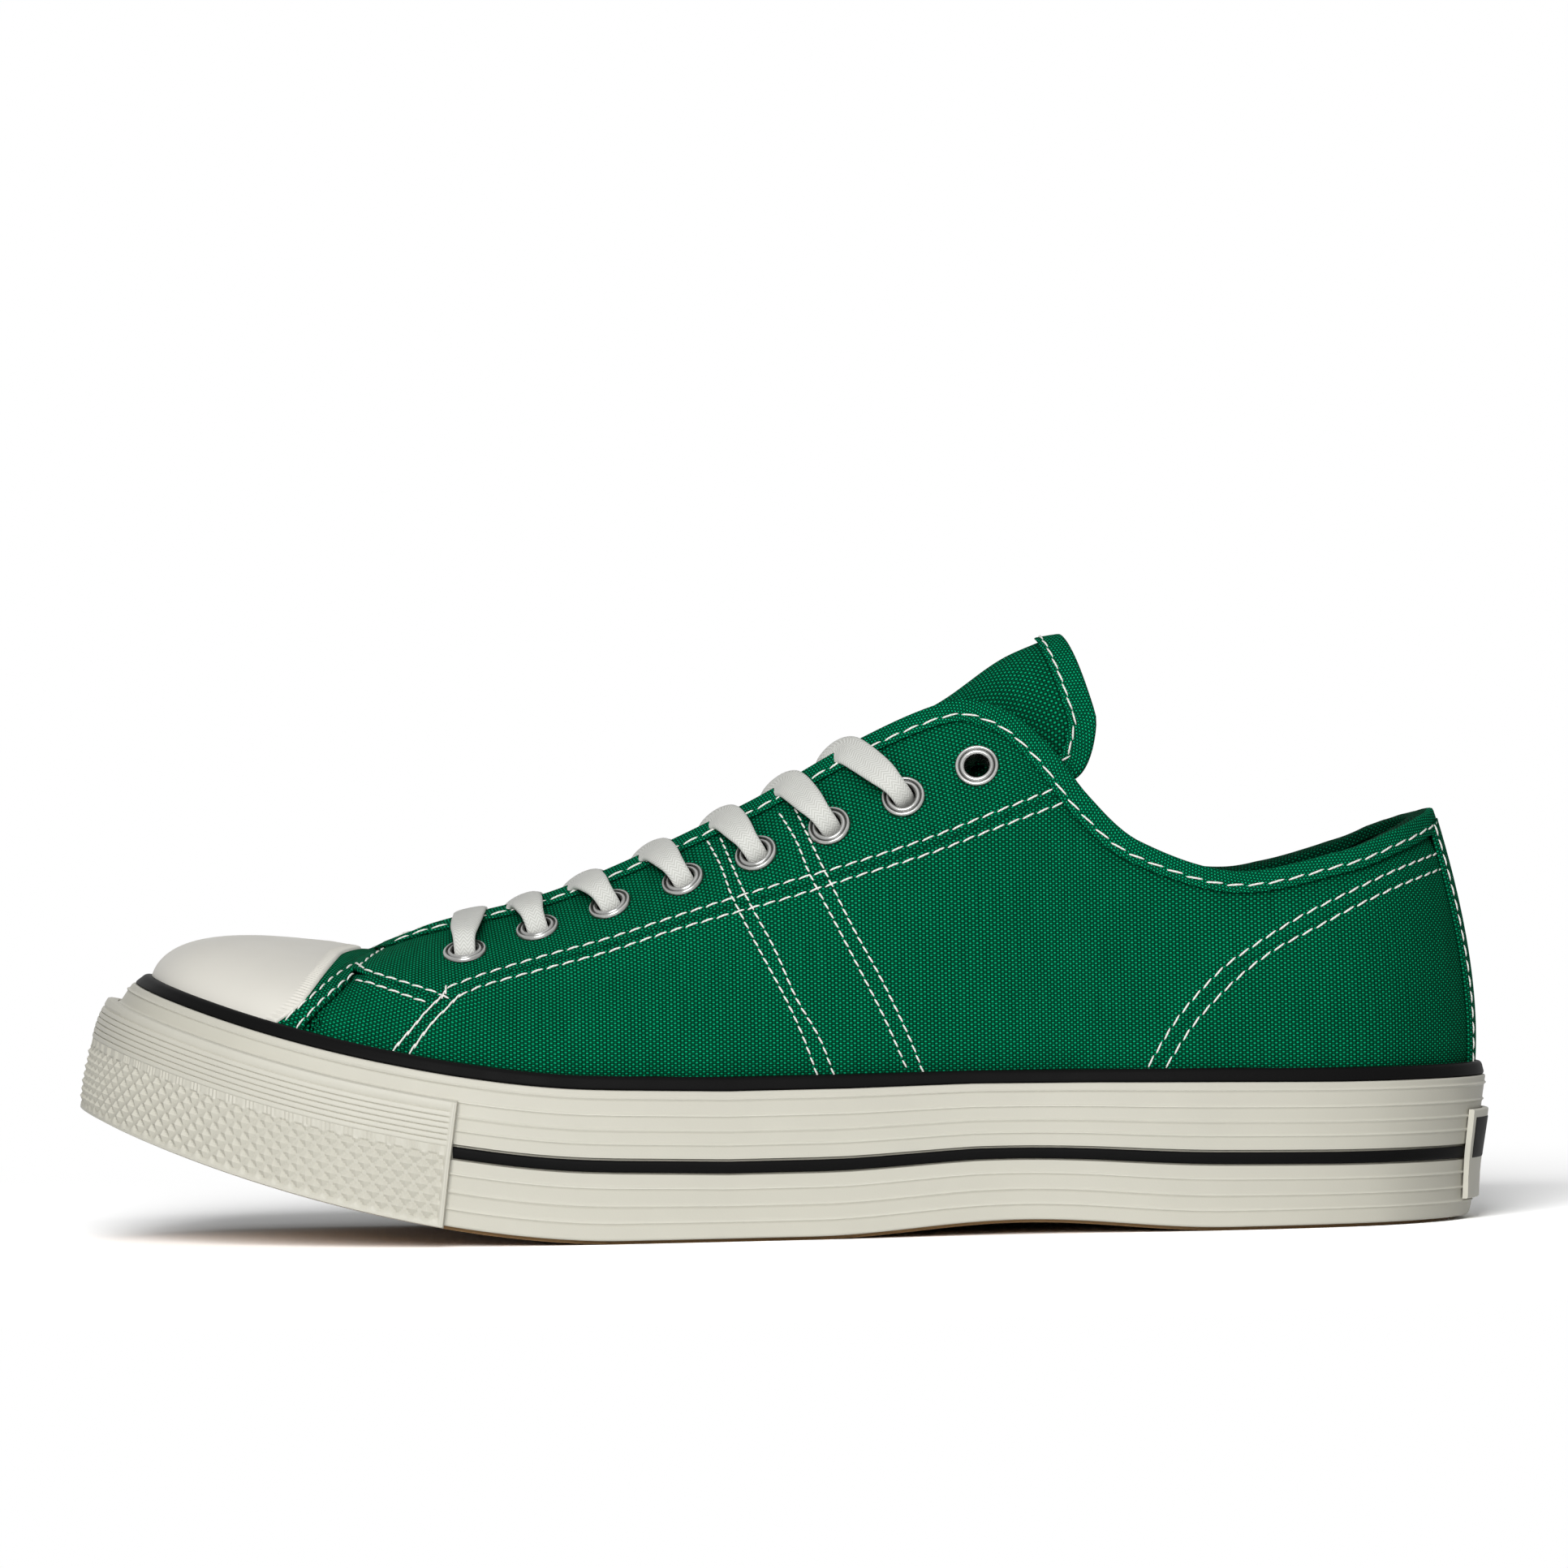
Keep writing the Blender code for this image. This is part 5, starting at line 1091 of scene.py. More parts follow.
def foldedTape(name, path, normal, beyond, face, back, wide, deep, t, body, nodes, closed):
    rings = []
    for k in range(len(path)):
        top, low = face[k] + 0.0001, back[k] - 0.0001
        middle, half = (top + low) / 2, (top - low) / 2 + t
        arc = [(0.0010 * math.sin(a) ** 0.6, middle + half * math.cos(a))
               for a in np.linspace(0, math.pi, 11)]
        ring = [(-wide[k], top), (-wide[k] - 0.0001, top + 0.6 * t), (-wide[k] + 0.0003, top + t),
                (-0.66 * wide[k], top + 1.06 * t), (-0.33 * wide[k], top + 1.06 * t), *arc,
                (-0.5 * deep[k], low - t), (-deep[k], low - t), (-deep[k], low), (-0.5 * deep[k], middle),
                (-0.5 * wide[k], middle), (-wide[k], top)]
        rings.append([path[k] + beyond[k] * reach + normal[k] * height for reach, height in ring])
    rings = np.array(rings)
    if closed:
        rings = np.concatenate([rings, rings[:1]])
    inside = np.zeros(rings.shape[1])
    inside[8:] = 1.0  # from the fold to the inner edge
    mesh = gridMesh(name, rings, runLengths(rings), inside, True, capped=not closed)
    tape = addPiece(name, mesh, greenTape, body, nodes, 60)
    # painted shade: on the collar the tape's inner leg takes the darker lining canvas
    if closed:
        mesh.materials.append(liningPaintedShade)
        marks = mesh.attributes["relief"].data
        for polygon in mesh.polygons:
            polygon.material_index = int(all(marks[k].value > 0.5 for k in polygon.vertices))
    return tape


def topEdgeLoop(count):
    lines = sectionsFrom(last["throatX"], last["crestEnd"], count)
    parts = [(outerSide, lines), (innerSide, lines[::-1][1:-1])]
    path = np.concatenate([bareUpper(side, q, np.ones_like(q)) for side, q in parts])
    normal = np.concatenate([upperNormal(side, q, np.ones_like(q)) for side, q in parts])
    normal[0] = normal[1] + normal[-1]
    normal[0] /= np.linalg.norm(normal[0])
    beyond = np.cross(normal, np.roll(path, -1, 0) - np.roll(path, 1, 0))
    beyond /= np.linalg.norm(beyond, axis=1)[:, None]
    cloth = np.concatenate([np.maximum(flushOffset(side, q, np.ones_like(q)),
                                       flushOffset(side, q, 0.92 + 0 * q))
                            for side, q in parts])
    return path, normal, beyond, cloth


def edgeFace(path, cloth):  # level of the cloth that the tape folds over
    atThroat = smoothStep((last["throatX"] + 0.005 - path[:, 0]) / 0.004)
    return cloth + atThroat * gap, atThroat


edgePath, edgeNormal, edgeBeyond, edgeCloth = topEdgeLoop(260)
edgeLevel, atThroat = edgeFace(edgePath, edgeCloth)
tapeWidth = valueAlong(bindingShape["outer"], edgePath[:, 0])
tapeWidth = tapeWidth + (bindingShape["atThroat"] - tapeWidth) * atThroat
foldedTape("collarBinding", edgePath, edgeNormal, edgeBeyond, edgeLevel,
           np.full(len(edgePath), level["lining"]), tapeWidth,
           np.full(len(edgePath), bindingShape["inner"]), bindingShape["thickness"], "shoe",
           ["collar_binding"], True)
print("binding made")

# tongue
tongueShape = {
    "rootX": -0.0840, "rootDepth": 0.0052, "depth": 0.0074,
    "tucked": (-0.0600, -0.0400, -0.0200, 0.0000, 0.0080),
    "end": [(0.0178, 0.1016), (0.0270, 0.1077), (0.0361, 0.1128), (0.0475, 0.1206), (0.0560, 0.1243),
            (0.0600, 0.1255)],
    "halfWidth": [(-0.0860, 0.0110), (-0.0600, 0.0170), (-0.0200, 0.0180), (0.0178, 0.0172),
                  (0.0450, 0.0163), (0.0600, 0.0165)],
    "drop": [(-0.0860, 0.0035), (-0.0600, 0.0085), (-0.0200, 0.0160), (0.0178, 0.0215), (0.0600, 0.0342)],
    "bend": 1.42, "corner": 0.0050, "cornerShare": 0.30, "lean": 0.0113, "leanPower": 0.68, "leanTo": 0.5,
    "thickness": 0.0016, "tape": 0.0048, "tapeThickness": 0.0004,
}


def tongueLine():
    edge = curveThrough(last["topEdge"], 24)
    tucked = [(x, np.interp(x, edge[:, 0],
                            edge[:, 2]) - tongueShape["depth"]) for x in tongueShape["tucked"]]
    return [(tongueShape["rootX"], last["throatZ"] - tongueShape["rootDepth"]), *tucked,
            *tongueShape["end"]]


tongueCrest = tongueLine()
tongueEnd = tongueCrest[-1][0]


def onTongue(x, w):
    x, w = np.broadcast_arrays(np.asarray(x, float), np.asarray(w, float))
    bend = w * tongueShape["bend"]
    droop = 1 - np.cos(bend)
    lean = tongueShape["lean"] * np.clip((x - last["throatX"]) / (tongueEnd - last["throatX"]), 0, 1)
    y = crestSide(x) + valueAlong(tongueShape["halfWidth"], x) * np.sin(bend)
    z = valueAlong(tongueCrest, x) - valueAlong(tongueShape["drop"], x) * droop
    return np.stack([x + lean * np.minimum(droop, tongueShape["leanTo"]) ** tongueShape["leanPower"], y,
                     z], -1)


def tongueNormal(x, w):
    along = onTongue(x + 0.0005, w) - onTongue(x - 0.0005, w)
    normal = np.cross(along, onTongue(x, w + 0.01) - onTongue(x, w - 0.01))
    return normal / np.linalg.norm(normal, axis=-1)[..., None]


def tongueReach(x):
    left = np.clip((tongueEnd - x) / tongueShape["corner"], 0, 1)
    return 1 - tongueShape["cornerShare"] * (1 - np.sqrt(np.clip(left * (2 - left), 0, 1)))


def makeTongue():
    x = tongueShape["rootX"] + (tongueEnd - tongueShape["rootX"]) * (1 - np.linspace(1, 0, 110) ** 1.6)
    w = np.linspace(-1, 1, 50)[None, :] * tongueReach(x)[:, None]
    points = onTongue(x[:, None], w)
    flat = runLengths(points)
    mesh = gridMesh("tongue", points, flat)
    piece = addPiece("tongue", mesh, greenTongue, "tongue", ["tongue"])
    thicken(piece, tongueShape["thickness"])
    turn = np.radians(np.linspace(0, 85, 12))
    corner = tongueEnd - tongueShape["corner"] * (1 - np.sin(turn))
    start = np.linspace(tongueEnd - 2 * tongueShape["corner"], tongueEnd - tongueShape["corner"], 8)[:-1]
    x = np.concatenate([start, corner])
    w = np.concatenate([np.ones(7), 1 - tongueShape["cornerShare"] * (1 - np.cos(turn))])
    across = np.linspace(-1, 1, 31) * (1 - tongueShape["cornerShare"])
    x = np.concatenate([x, np.full(31, tongueEnd), x[::-1]])
    w = np.concatenate([-w, across, w[::-1]])
    path, normal = onTongue(x, w), tongueNormal(x, w)
    beyond = np.cross(np.gradient(path, axis=0), normal)
    beyond /= np.linalg.norm(beyond, axis=1)[:, None]
    back = np.full(len(x), -tongueShape["thickness"])
    width = np.full(len(x), tongueShape["tape"])
    foldedTape("tongueBinding", path, normal, beyond, np.zeros(len(x)), back, width, width,
               tongueShape["tapeThickness"], "tongue", ["tongue_binding"], False)
    inset = path - beyond * (tongueShape["tape"] - 0.0011) + normal * (tongueShape["tapeThickness"] + 0.0002)
    return inset, normal


tongueRow = makeTongue()
print("tongue made")

# eyelets
eyeletShape = {"count": 8, "first": (-0.0670, 0.0605), "last": (0.0424, 0.0985), "sag": 0.0018,
               "bore": 0.0026, "rim": 0.0047, "hole": 0.0043, "back": 0.0042}


def eyeletPlaces():
    share = np.linspace(0, 1, eyeletShape["count"])
    (x0, z0), (x1, z1) = eyeletShape["first"], eyeletShape["last"]
    x, z = x0 + (x1 - x0) * share, z0 + (z1 - z0) * share - 4 * eyeletShape["sag"] * share * (1 - share)
    q, climb = x.copy(), np.linspace(-0.3, 1, 261)
    for _ in range(25):
        heights = bareUpper(outerSide, q[:, None], climb)[..., 2]
        v = np.array([np.interp(height, column, climb) for height, column in zip(z, heights)])
        q = np.clip(q + 0.8 * (x - bareUpper(outerSide, q, v)[..., 0]), last["crestStart"],
                    last["crestEnd"])
    return q, v


eyeletQ, eyeletV = eyeletPlaces()


def eyeletFrame(side, k):
    centre, normal = bareUpper(side, eyeletQ[k], eyeletV[k]), upperNormal(side, eyeletQ[k], eyeletV[k])
    turn = Vector(normal).to_track_quat("Z", "Y").to_matrix().to_4x4()
    return Matrix.Translation(Vector(centre)) @ turn, centre, normal


def makeEyelets():
    seat, bore, rim, back = level["facing"], eyeletShape["bore"], eyeletShape["rim"], level["lining"] - 0.0008
    face = [(2.62, 0.25), (2.72, 0.52), (2.92, 0.74), (3.2, 0.84), (3.48, 0.76), (3.66, 0.56),
            (3.76, 0.42), (3.86, 0.56), (4.05, 0.76), (4.28, 0.82), (4.5, 0.70), (4.66, 0.44), (4.74, 0.10)]
    outline = [(bore + 0.0002, back - 0.0003), (bore, back + 0.0004), (bore, seat),
               *((radius / 1000, seat + height / 1000) for radius, height in face),
               (rim - 0.0003, seat - 0.0001), (bore + 0.0005, seat - 0.0001),
               (bore + 0.0004, back + 0.0001), (eyeletShape["back"], back),
               (eyeletShape["back"], back - 0.0003), (bore + 0.0002, back - 0.0003)]
    bm = bmesh.new()
    ring = [bm.verts.new((radius, 0, height)) for radius, height in outline[:-1]]
    edges = [bm.edges.new(pair) for pair in zip(ring, ring[1:] + ring[:1])]
    bmesh.ops.spin(bm, geom=ring + edges, cent=(0, 0, 0), axis=(0, 0, 1), angle=2 * math.pi, steps=40,
                   use_merge=True)
    bmesh.ops.remove_doubles(bm, verts=bm.verts, dist=1e-6)
    bmesh.ops.recalc_face_normals(bm, faces=bm.faces)
    base = settle(bm, bpy.data.meshes.new("eyelet"))
    for word, side in sides.items():
        bm = bmesh.new()
        for k in range(eyeletShape["count"]):
            addCopy(bm, base, eyeletFrame(side, k)[0])
        mesh = settle(bm, bpy.data.meshes.new(f"eyelets{word}"))
        addPiece(f"eyelets{word}", mesh, brightMetal, "shoe",
                 [f"eyelet_{word.lower()}_{k + 1}" for k in range(eyeletShape["count"])], 50)


def punchHoles(mesh, side):  # the cloth is cut away under each eyelet's flange
    centres = [Vector(eyeletFrame(side, k)[1]) for k in range(eyeletShape["count"])]
    bm = bmesh.new()
    bm.from_mesh(mesh)
    cut = [face for face in bm.faces
           if any(all((vert.co - centre).length < eyeletShape["hole"] for vert in face.verts)
                  for centre in centres)]
    bmesh.ops.delete(bm, geom=cut, context="FACES")
    settle(bm, mesh)


makeEyelets()
for word, side in sides.items():
    punchHoles(pieces[f"eyestay{word}"].data, side)
    punchHoles(pieces[f"quarterLining{word}"].data, side)
print("eyelets made")

# lace
laceShape = {"width": 0.0074, "thickness": 0.0018, "bunchWidth": 0.0046, "bunchThickness": 0.0020,
             "slant": (0.0, 0.82, 0.67, 0.64, 0.59, 0.47, 0.26), "rise": 0.06, "cross": 0.0019, "laced": 7,
             "arch": -0.0006, "dip": 0.0042, "tailDrop": 0.0330, "tailInset": 0.0030,
             "hook": 0.0072, "hookIn": 0.0024, "hookDrop": 0.0034, "hookTilt": 1.0,
             "crown": 0.0026, "crownRise": 0.0019, "crownIn": 0.4, "crownTilt": 0.2,
             "edgeSink": 0.0002, "edgeFrom": 0.85, "edgeIn": 0.2, "underClear": 0.0005,
             "flange": 0.0094, "flangeHeight": 0.0008, "backSeat": 0.0008, "wall": 0.0004,
             "sides": 20, "step": 0.0006, "evenBunched": 0.0008, "evenFlat": 0.0030}


def unit(vector):
    return vector / np.linalg.norm(vector)


class LaceRoute:
    def __init__(self):
        self.points, self.flats, self.sizes = [], [], []
        self.turned = 1

    def add(self, point, flat, bunched=0.0):
        self.points.append(np.array(point, float))
        self.flats.append(np.array(flat, float) * self.turned)
        wide = np.array([laceShape["width"], laceShape["thickness"]])
        drawn = np.array([laceShape["bunchWidth"], laceShape["bunchThickness"]])
        self.sizes.append((wide + (drawn - wide) * bunched) / 2)

    def throughEyelet(self, side, k, towards, backTowards):
        _, centre, normal = eyeletFrame(side, k)
        half = laceShape["bunchThickness"] / 2
        seat = level["facing"] + 2 * gap + laceShape["flangeHeight"] + half
        under = level["lining"] - laceShape["backSeat"] - laceShape["wall"] - gap - half
        come = unit(towards - centre - normal * np.dot(towards - centre, normal))
        leave = unit(backTowards - centre - normal * np.dot(backTowards - centre, normal))
        flange, bore = laceShape["flange"] / 2, eyeletShape["bore"]
        self.add(centre + come * (flange + 2 * half) + normal * (seat + gap), normal, 0.35)
        self.add(centre + come * (flange - half) + normal * (seat + gap), normal, 0.8)
        self.add(centre + come * bore / 2 + normal * (seat - half), unit(normal - come), 1)
        self.add(centre + normal * (seat - bore - half / 2), -come, 1)
        self.add(centre + normal * (under + bore), -come, 1)
        self.turned = -self.turned
        self.add(centre + leave * bore * 0.4 + normal * (under + half / 2), unit(normal + leave), 1)
        self.add(centre + leave * (bore + half) + normal * under, normal, 0.9)
        self.add(centre + leave * (flange + half) + normal * (under + gap / 2), normal, 0.6)


def edgePoint(side, q, height, inward=0.0):
    return onUpper(side, q, 1.0, height) + np.array([0, -side * inward, 0])


def laceStrand(side, up):
    route = LaceRoute()
    thick, wide, rise = laceShape["thickness"], laceShape["width"], laceShape["rise"]
    over = level["facing"] - laceShape["edgeSink"] + gap + thick / 2
    below = level["lining"] - laceShape["underClear"] - 2 * gap - thick / 2
    here, count = side, laceShape["laced"]
    for k in range(count):
        q = eyeletQ[k]
        step = eyeletQ[min(k + 1, count - 1)] - eyeletQ[min(k, count - 2)]
        before = eyeletQ[k - 1] if k else q
        overEdge = edgePoint(here, before + (q - before) * laceShape["slant"][k], over)
        final = k == count - 1
        underEdge = edgePoint(here, q + step * rise, below)
        tail = onUpper(here, q + step * 0.1, eyeletV[k] - 0.35, level["lining"])
        route.add(overEdge, upperNormal(here, q, 1.0), 0.0)
        route.throughEyelet(here, k, overEdge, tail if final else underEdge)
        if final:
            laceTail(route, here, k)
            break
        ahead, end = eyeletQ[k + 1] - q, laceShape["slant"][k + 1]
        route.add(underEdge, upperNormal(here, q, 1.0), 0.1)
        route.add(edgePoint(here, q + ahead * (rise + 0.15 * end), below + thick / 2, wide * 0.4),
                  (0, 0, 1), 0.0)
        hookQ = q + ahead * end - laceShape["hook"]
        halfWay = max(hookQ - 0.001, (q + hookQ) / 2)
        middle = (edgePoint(here, halfWay, 0.0) + edgePoint(-here, halfWay, 0.0)) / 2
        middle[2] = max(middle[2] + up * laceShape["cross"] - laceShape["dip"],
                        valueAlong(tongueCrest, middle[0]) + thick)
        route.add(middle, (0, 0, 1), 0.0)
        outward = upperNormal(-here, q, 1.0)
        hook = edgePoint(-here, hookQ, 0.0, laceShape["hookIn"]) - np.array([0, 0, laceShape["hookDrop"]])
        route.add(hook, outward + np.array([0, 0, laceShape["hookTilt"]]), 0.0)
        crown = edgePoint(-here, hookQ + laceShape["crown"], 0.0, laceShape["crownIn"] * laceShape["hookIn"])
        route.add(crown + np.array([0, 0, laceShape["crownRise"]]),
                  outward + np.array([0, 0, laceShape["crownTilt"]]), 0.0)
        edgeQ = q + ahead * laceShape["edgeFrom"] * end
        route.add(edgePoint(-here, edgeQ, over + laceShape["arch"], wide * laceShape["edgeIn"]), outward, 0.0)
        here = -here
    return route


def laceTail(route, side, k):
    q = eyeletQ[k]
    offset = level["lining"] - 2 * gap - laceShape["thickness"] / 2
    wallHeight = bareUpper(outerSide, q, 1.0)[2] - last["foxingHeight"]
    start = eyeletV[k] - 1.3 * laceShape["flange"] / wallHeight
    for share in (0, 1 / 3, 2 / 3, 1):
        v = start - share * laceShape["tailDrop"] / wallHeight
        bunched = 0.3 if share < 1 else 0.8
        route.add(onUpper(side, q, v, offset - share * laceShape["tailInset"]), upperNormal(side, q, v),
                  bunched)


def tubeAlong(points, flats, sizes, count):
    tangent = np.gradient(points, axis=0)
    tangent /= np.linalg.norm(tangent, axis=1)[:, None]
    flats = flats - tangent * (flats * tangent).sum(1)[:, None]
    flats /= np.linalg.norm(flats, axis=1)[:, None]
    across = np.cross(tangent, flats)
    turn = np.linspace(0, 2 * math.pi, count + 1)
    square = 0.75  # a plump oval, a little squarer than an ellipse
    c, s = (np.sign(f(turn)) * np.abs(f(turn)) ** square for f in (np.cos, np.sin))
    rings = (points[:, None] + across[:, None] * (sizes[:, :1] * c)[..., None]
             + flats[:, None] * (sizes[:, 1:] * s)[..., None])
    ends = [np.broadcast_to(points[k], (1, count + 1, 3)) for k in (0, -1)]
    return np.concatenate([ends[0], rings, ends[1]])


def smoothRun(rows, spread):  # evens a run of rows that stand one step apart
    reach = int(3 * spread / laceShape["step"])
    weight = np.exp(-0.5 * (np.arange(-reach, reach + 1) * laceShape["step"] / spread) ** 2)
    weight /= weight.sum()
    padded = np.concatenate([np.repeat(rows[:1], reach, 0), rows, np.repeat(rows[-1:], reach, 0)])
    return np.stack([np.convolve(padded[:, k], weight, "valid") for k in range(rows.shape[1])], 1)


def makeLace():
    rising, falling = laceStrand(outerSide, 1), laceStrand(innerSide, -1)
    middle = (rising.points[0] + falling.points[0]) / 2 + np.array([0, 0, laceShape["arch"]])
    keys = np.array(falling.points[::-1] + [middle] + rising.points)
    flats = np.array(falling.flats[::-1] + [np.array([0, 0, 1.0])] + rising.flats)
    wide = np.array([[laceShape["width"], laceShape["thickness"]]]) / 2
    sizes = np.concatenate([np.array(falling.sizes[::-1]), wide, np.array(rising.sizes)])
    path = curveThrough(np.concatenate([keys, 0.01 * flats, sizes], 1), 8)
    run = runAlong(path[:, :3])
    even = np.linspace(0, run[-1], int(run[-1] / laceShape["step"]))
    path = np.stack([np.interp(even, run, path[:, k]) for k in range(8)], 1)
    drawnIn = laceShape["width"] - laceShape["bunchWidth"]
    drawn = np.clip((laceShape["width"] / 2 - path[:, 6:7]) / drawnIn * 2, 0, 1)
    bunched, flat = smoothRun(path, laceShape["evenBunched"]), smoothRun(path, laceShape["evenFlat"])
    path = bunched * drawn + flat * (1 - drawn)
    rings = tubeAlong(path[:, :3], path[:, 3:6], path[:, 6:], laceShape["sides"])
    mesh = gridMesh("lace", rings, runLengths(rings), None, True)
    piece = addPiece("lace", mesh, laceCotton, "shoe", ["lace"], 80)
    length = float(np.linalg.norm(np.diff(path[:, :3], axis=0), axis=1).sum())
    print("lace length", round(length, 4))
    return piece, path[:, :3], length


lacePiece, lacePath, laceLength = makeLace()
paintNodes(tip, "lace_tip_outer", "lace_tip_inner")
print("lace made")

# stitches: one short thread, copied along each row
stitchShape = {"length": 0.0027, "radius": 0.00022, "slant": 6.0,
               "panel": (0.0034, 0.0031), "saddle": (0.00235, 0.0021), "tape": (0.0044, 0.0040)}
stitchRows = {
    "eyestayUpper": [(-71.4, 54.7), (-63.4, 57.5), (-50.1, 61.2), (-36.8, 64.6), (-23.4, 68.7),
                     (-10.1, 72.7), (3.2, 76.4), (16.5, 80), (31.6, 84.7), (44.9, 89.6), (58.7, 94.7)],
    "eyestayLower": [(-69.1, 52.7), (-63.4, 55.2), (-50.1, 58.6), (-36.8, 61.9), (-23.5, 66),
                     (-10.2, 69.6), (3.2, 73.1), (15, 76.6), (31.5, 81.4), (44.9, 86.2), (60.9, 91.9)],
    "frontUpper": [(-90.4, 60.4), (-88.3, 59), (-85.4, 57.9), (-79.5, 56), (-72.9, 53.7), (-70.5, 52.4)],
    "frontLower": [(-90.5, 57.7), (-87.9, 56.6), (-82.2, 54.5), (-75.4, 52)],
    "bandFront": [(-90.8, 60.2), (-95.5, 57.2), (-101.2, 52.0), (-104.5, 47.9)],
    "bandRear": [(-90.8, 58.3), (-95.1, 54.8), (-98.4, 51.9), (-100.9, 49.1), (-102.9, 46.5)],
    "throatTape": [(-80.5, 65.1), (-83.3, 63.8), (-86.5, 62.1), (-88.4, 60.7), (-89.9, 59.5)],
    "vampFront": [(-71.5, 54.5), (-71.8, 53.4), (-76.5, 49.5), (-79, 46.7), (-81.3, 44.1), (-83.2, 41.7)],
    "vampRear": [(-69.1, 52.6), (-71.4, 50.5), (-73.4, 49), (-75.5, 46.8), (-77.3, 44.4), (-79.7, 41.1)],
    "saddleA": [(-15.2, 85.1), (-12.3, 79.4), (-10.1, 73), (-4.7, 62.3), (0.8, 51.6), (4.3, 43.6),
                (7.4, 34.6)],
    "saddleB": [(-12.4, 85.7), (-7.1, 73), (-1.7, 62.9), (3.1, 51.6), (7.9, 42.9), (11, 34.5)],
    "saddleC": [(0.2, 90.7), (3.7, 84.7), (6.5, 77.4), (11.7, 67.3), (17.4, 55.9), (21.9, 46.6),
                (26.3, 35.9)],
    "saddleD": [(3.5, 91.7), (6.4, 85.3), (9.7, 78), (15.6, 65.9), (21.4, 54.9), (27, 42.5), (29.9, 34.7)],
    "counterUpper": [(77, 35), (84.2, 46.1), (93, 55.5), (98.9, 59.8), (110, 66.5), (121.5, 72),
                     (131.5, 76.4), (141, 79.9)],
    "counterLower": [(80.8, 34.9), (87.6, 44.7), (96.4, 53.6), (104.5, 59.6), (114.6, 64.8), (121.4, 68.3),
                     (131.5, 72.8), (141.5, 76.5)],
}


def threadMesh():
    along = np.linspace(-1, 1, 7)
    turn = np.linspace(0, 2 * math.pi, 7)
    radius = stitchShape["radius"] * np.array([0.5, 0.85, 1, 1, 1, 0.85, 0.5])
    lift = stitchShape["radius"] * np.array([-0.9, 0.1, 0.45, 0.55, 0.45, 0.1, -0.9])
    points = np.stack([np.broadcast_to(along[:, None] * stitchShape["length"] / 2, (7, 7)),
                       radius[:, None] * np.cos(turn), radius[:, None] * np.sin(turn) + lift[:, None]], -1)
    ends = [np.broadcast_to(points[k].mean(0), (1, 7, 3)) for k in (0, -1)]
    points = np.concatenate([ends[0], points, ends[1]])
    return gridMesh("stitch", points, runLengths(points), None, True)


oneStitch = threadMesh()


def layStitches(bm, path, normal, kind="panel", phase=0.5):
    run = runAlong(path)
    pitch, length = stitchShape[kind]
    count = max(round(run[-1] / pitch), 1)
    pitch = run[-1] / count
    slant = math.tan(math.radians(stitchShape["slant"]))
    for k in range(count):
        ends = [(k + phase + s * 0.4) * pitch for s in (-1, 1)]
        a, b = (np.array([np.interp(at, run, path[:, i]) for i in range(3)]) for at in ends)
        middle = np.array([np.interp((k + phase) * pitch, run, path[:, i]) for i in range(3)])
        up = unit(np.array([np.interp((k + phase) * pitch, run, normal[:, i]) for i in range(3)]))
        ahead = unit(b - a - up * np.dot(b - a, up))
        side = np.cross(up, ahead)
        ahead = unit(ahead + slant * side)
        side = np.cross(up, ahead)
        place = Matrix.Identity(4)
        for column, axis in enumerate((ahead * length / stitchShape["length"], side, up, middle)):
            for i in range(3):
                place[i][column] = axis[i]
        addCopy(bm, oneStitch, place)


def finishStitches(name, bm, body="shoe"):
    mesh = settle(bm, bpy.data.meshes.new(name))
    addPiece(name, mesh, thread, body, [], 80)


placed = {name: locate(points, 0.001, 6) for name, points in stitchRows.items()}
for word, side in sides.items():
    bm = bmesh.new()
    for name, (q, v) in placed.items():
        offset = flushOffset(side, q, v)
        if name.startswith(("band", "front")):
            cloth = offset if name == "frontUpper" else vampOffset(side, q, v)
            offset = np.where(q < foldLine(v), level["facing"], cloth)
        path, normal = onUpper(side, q, v, offset), upperNormal(side, q, v)
        layStitches(bm, path, normal, "saddle" if name.startswith("saddle") else "panel")
        if name.startswith("vamp"):
            layStitches(bm, path + np.array([0.0003, 0, 0.0002]), normal, "panel", 0.05)
    finishStitches(f"panelStitches{word}", bm)
bm = bmesh.new()
inset = valueAlong(bindingShape["row"], edgePath[:, 0])[:, None]
rise = (edgeLevel + 0.0001 + 1.05 * bindingShape["thickness"])[:, None]
row = edgePath - edgeBeyond * inset + edgeNormal * rise
keep = np.where(atThroat < 0.05)[0]
layStitches(bm, row[keep], edgeNormal[keep], "tape")
finishStitches("bindingStitches", bm)
bm = bmesh.new()
layStitches(bm, tongueRow[0], tongueRow[1])
finishStitches("tongueStitches", bm, "tongue")
print("stitches made")

# backstay
backstayShape = {"halfWidth": 0.0080, "lower": 0.0062, "raise": 0.0010, "top": 0.965}


def backstayWidth(v):
    return backstayShape["lower"] + (backstayShape["halfWidth"] - backstayShape["lower"]) * np.clip(v, 0, 1)


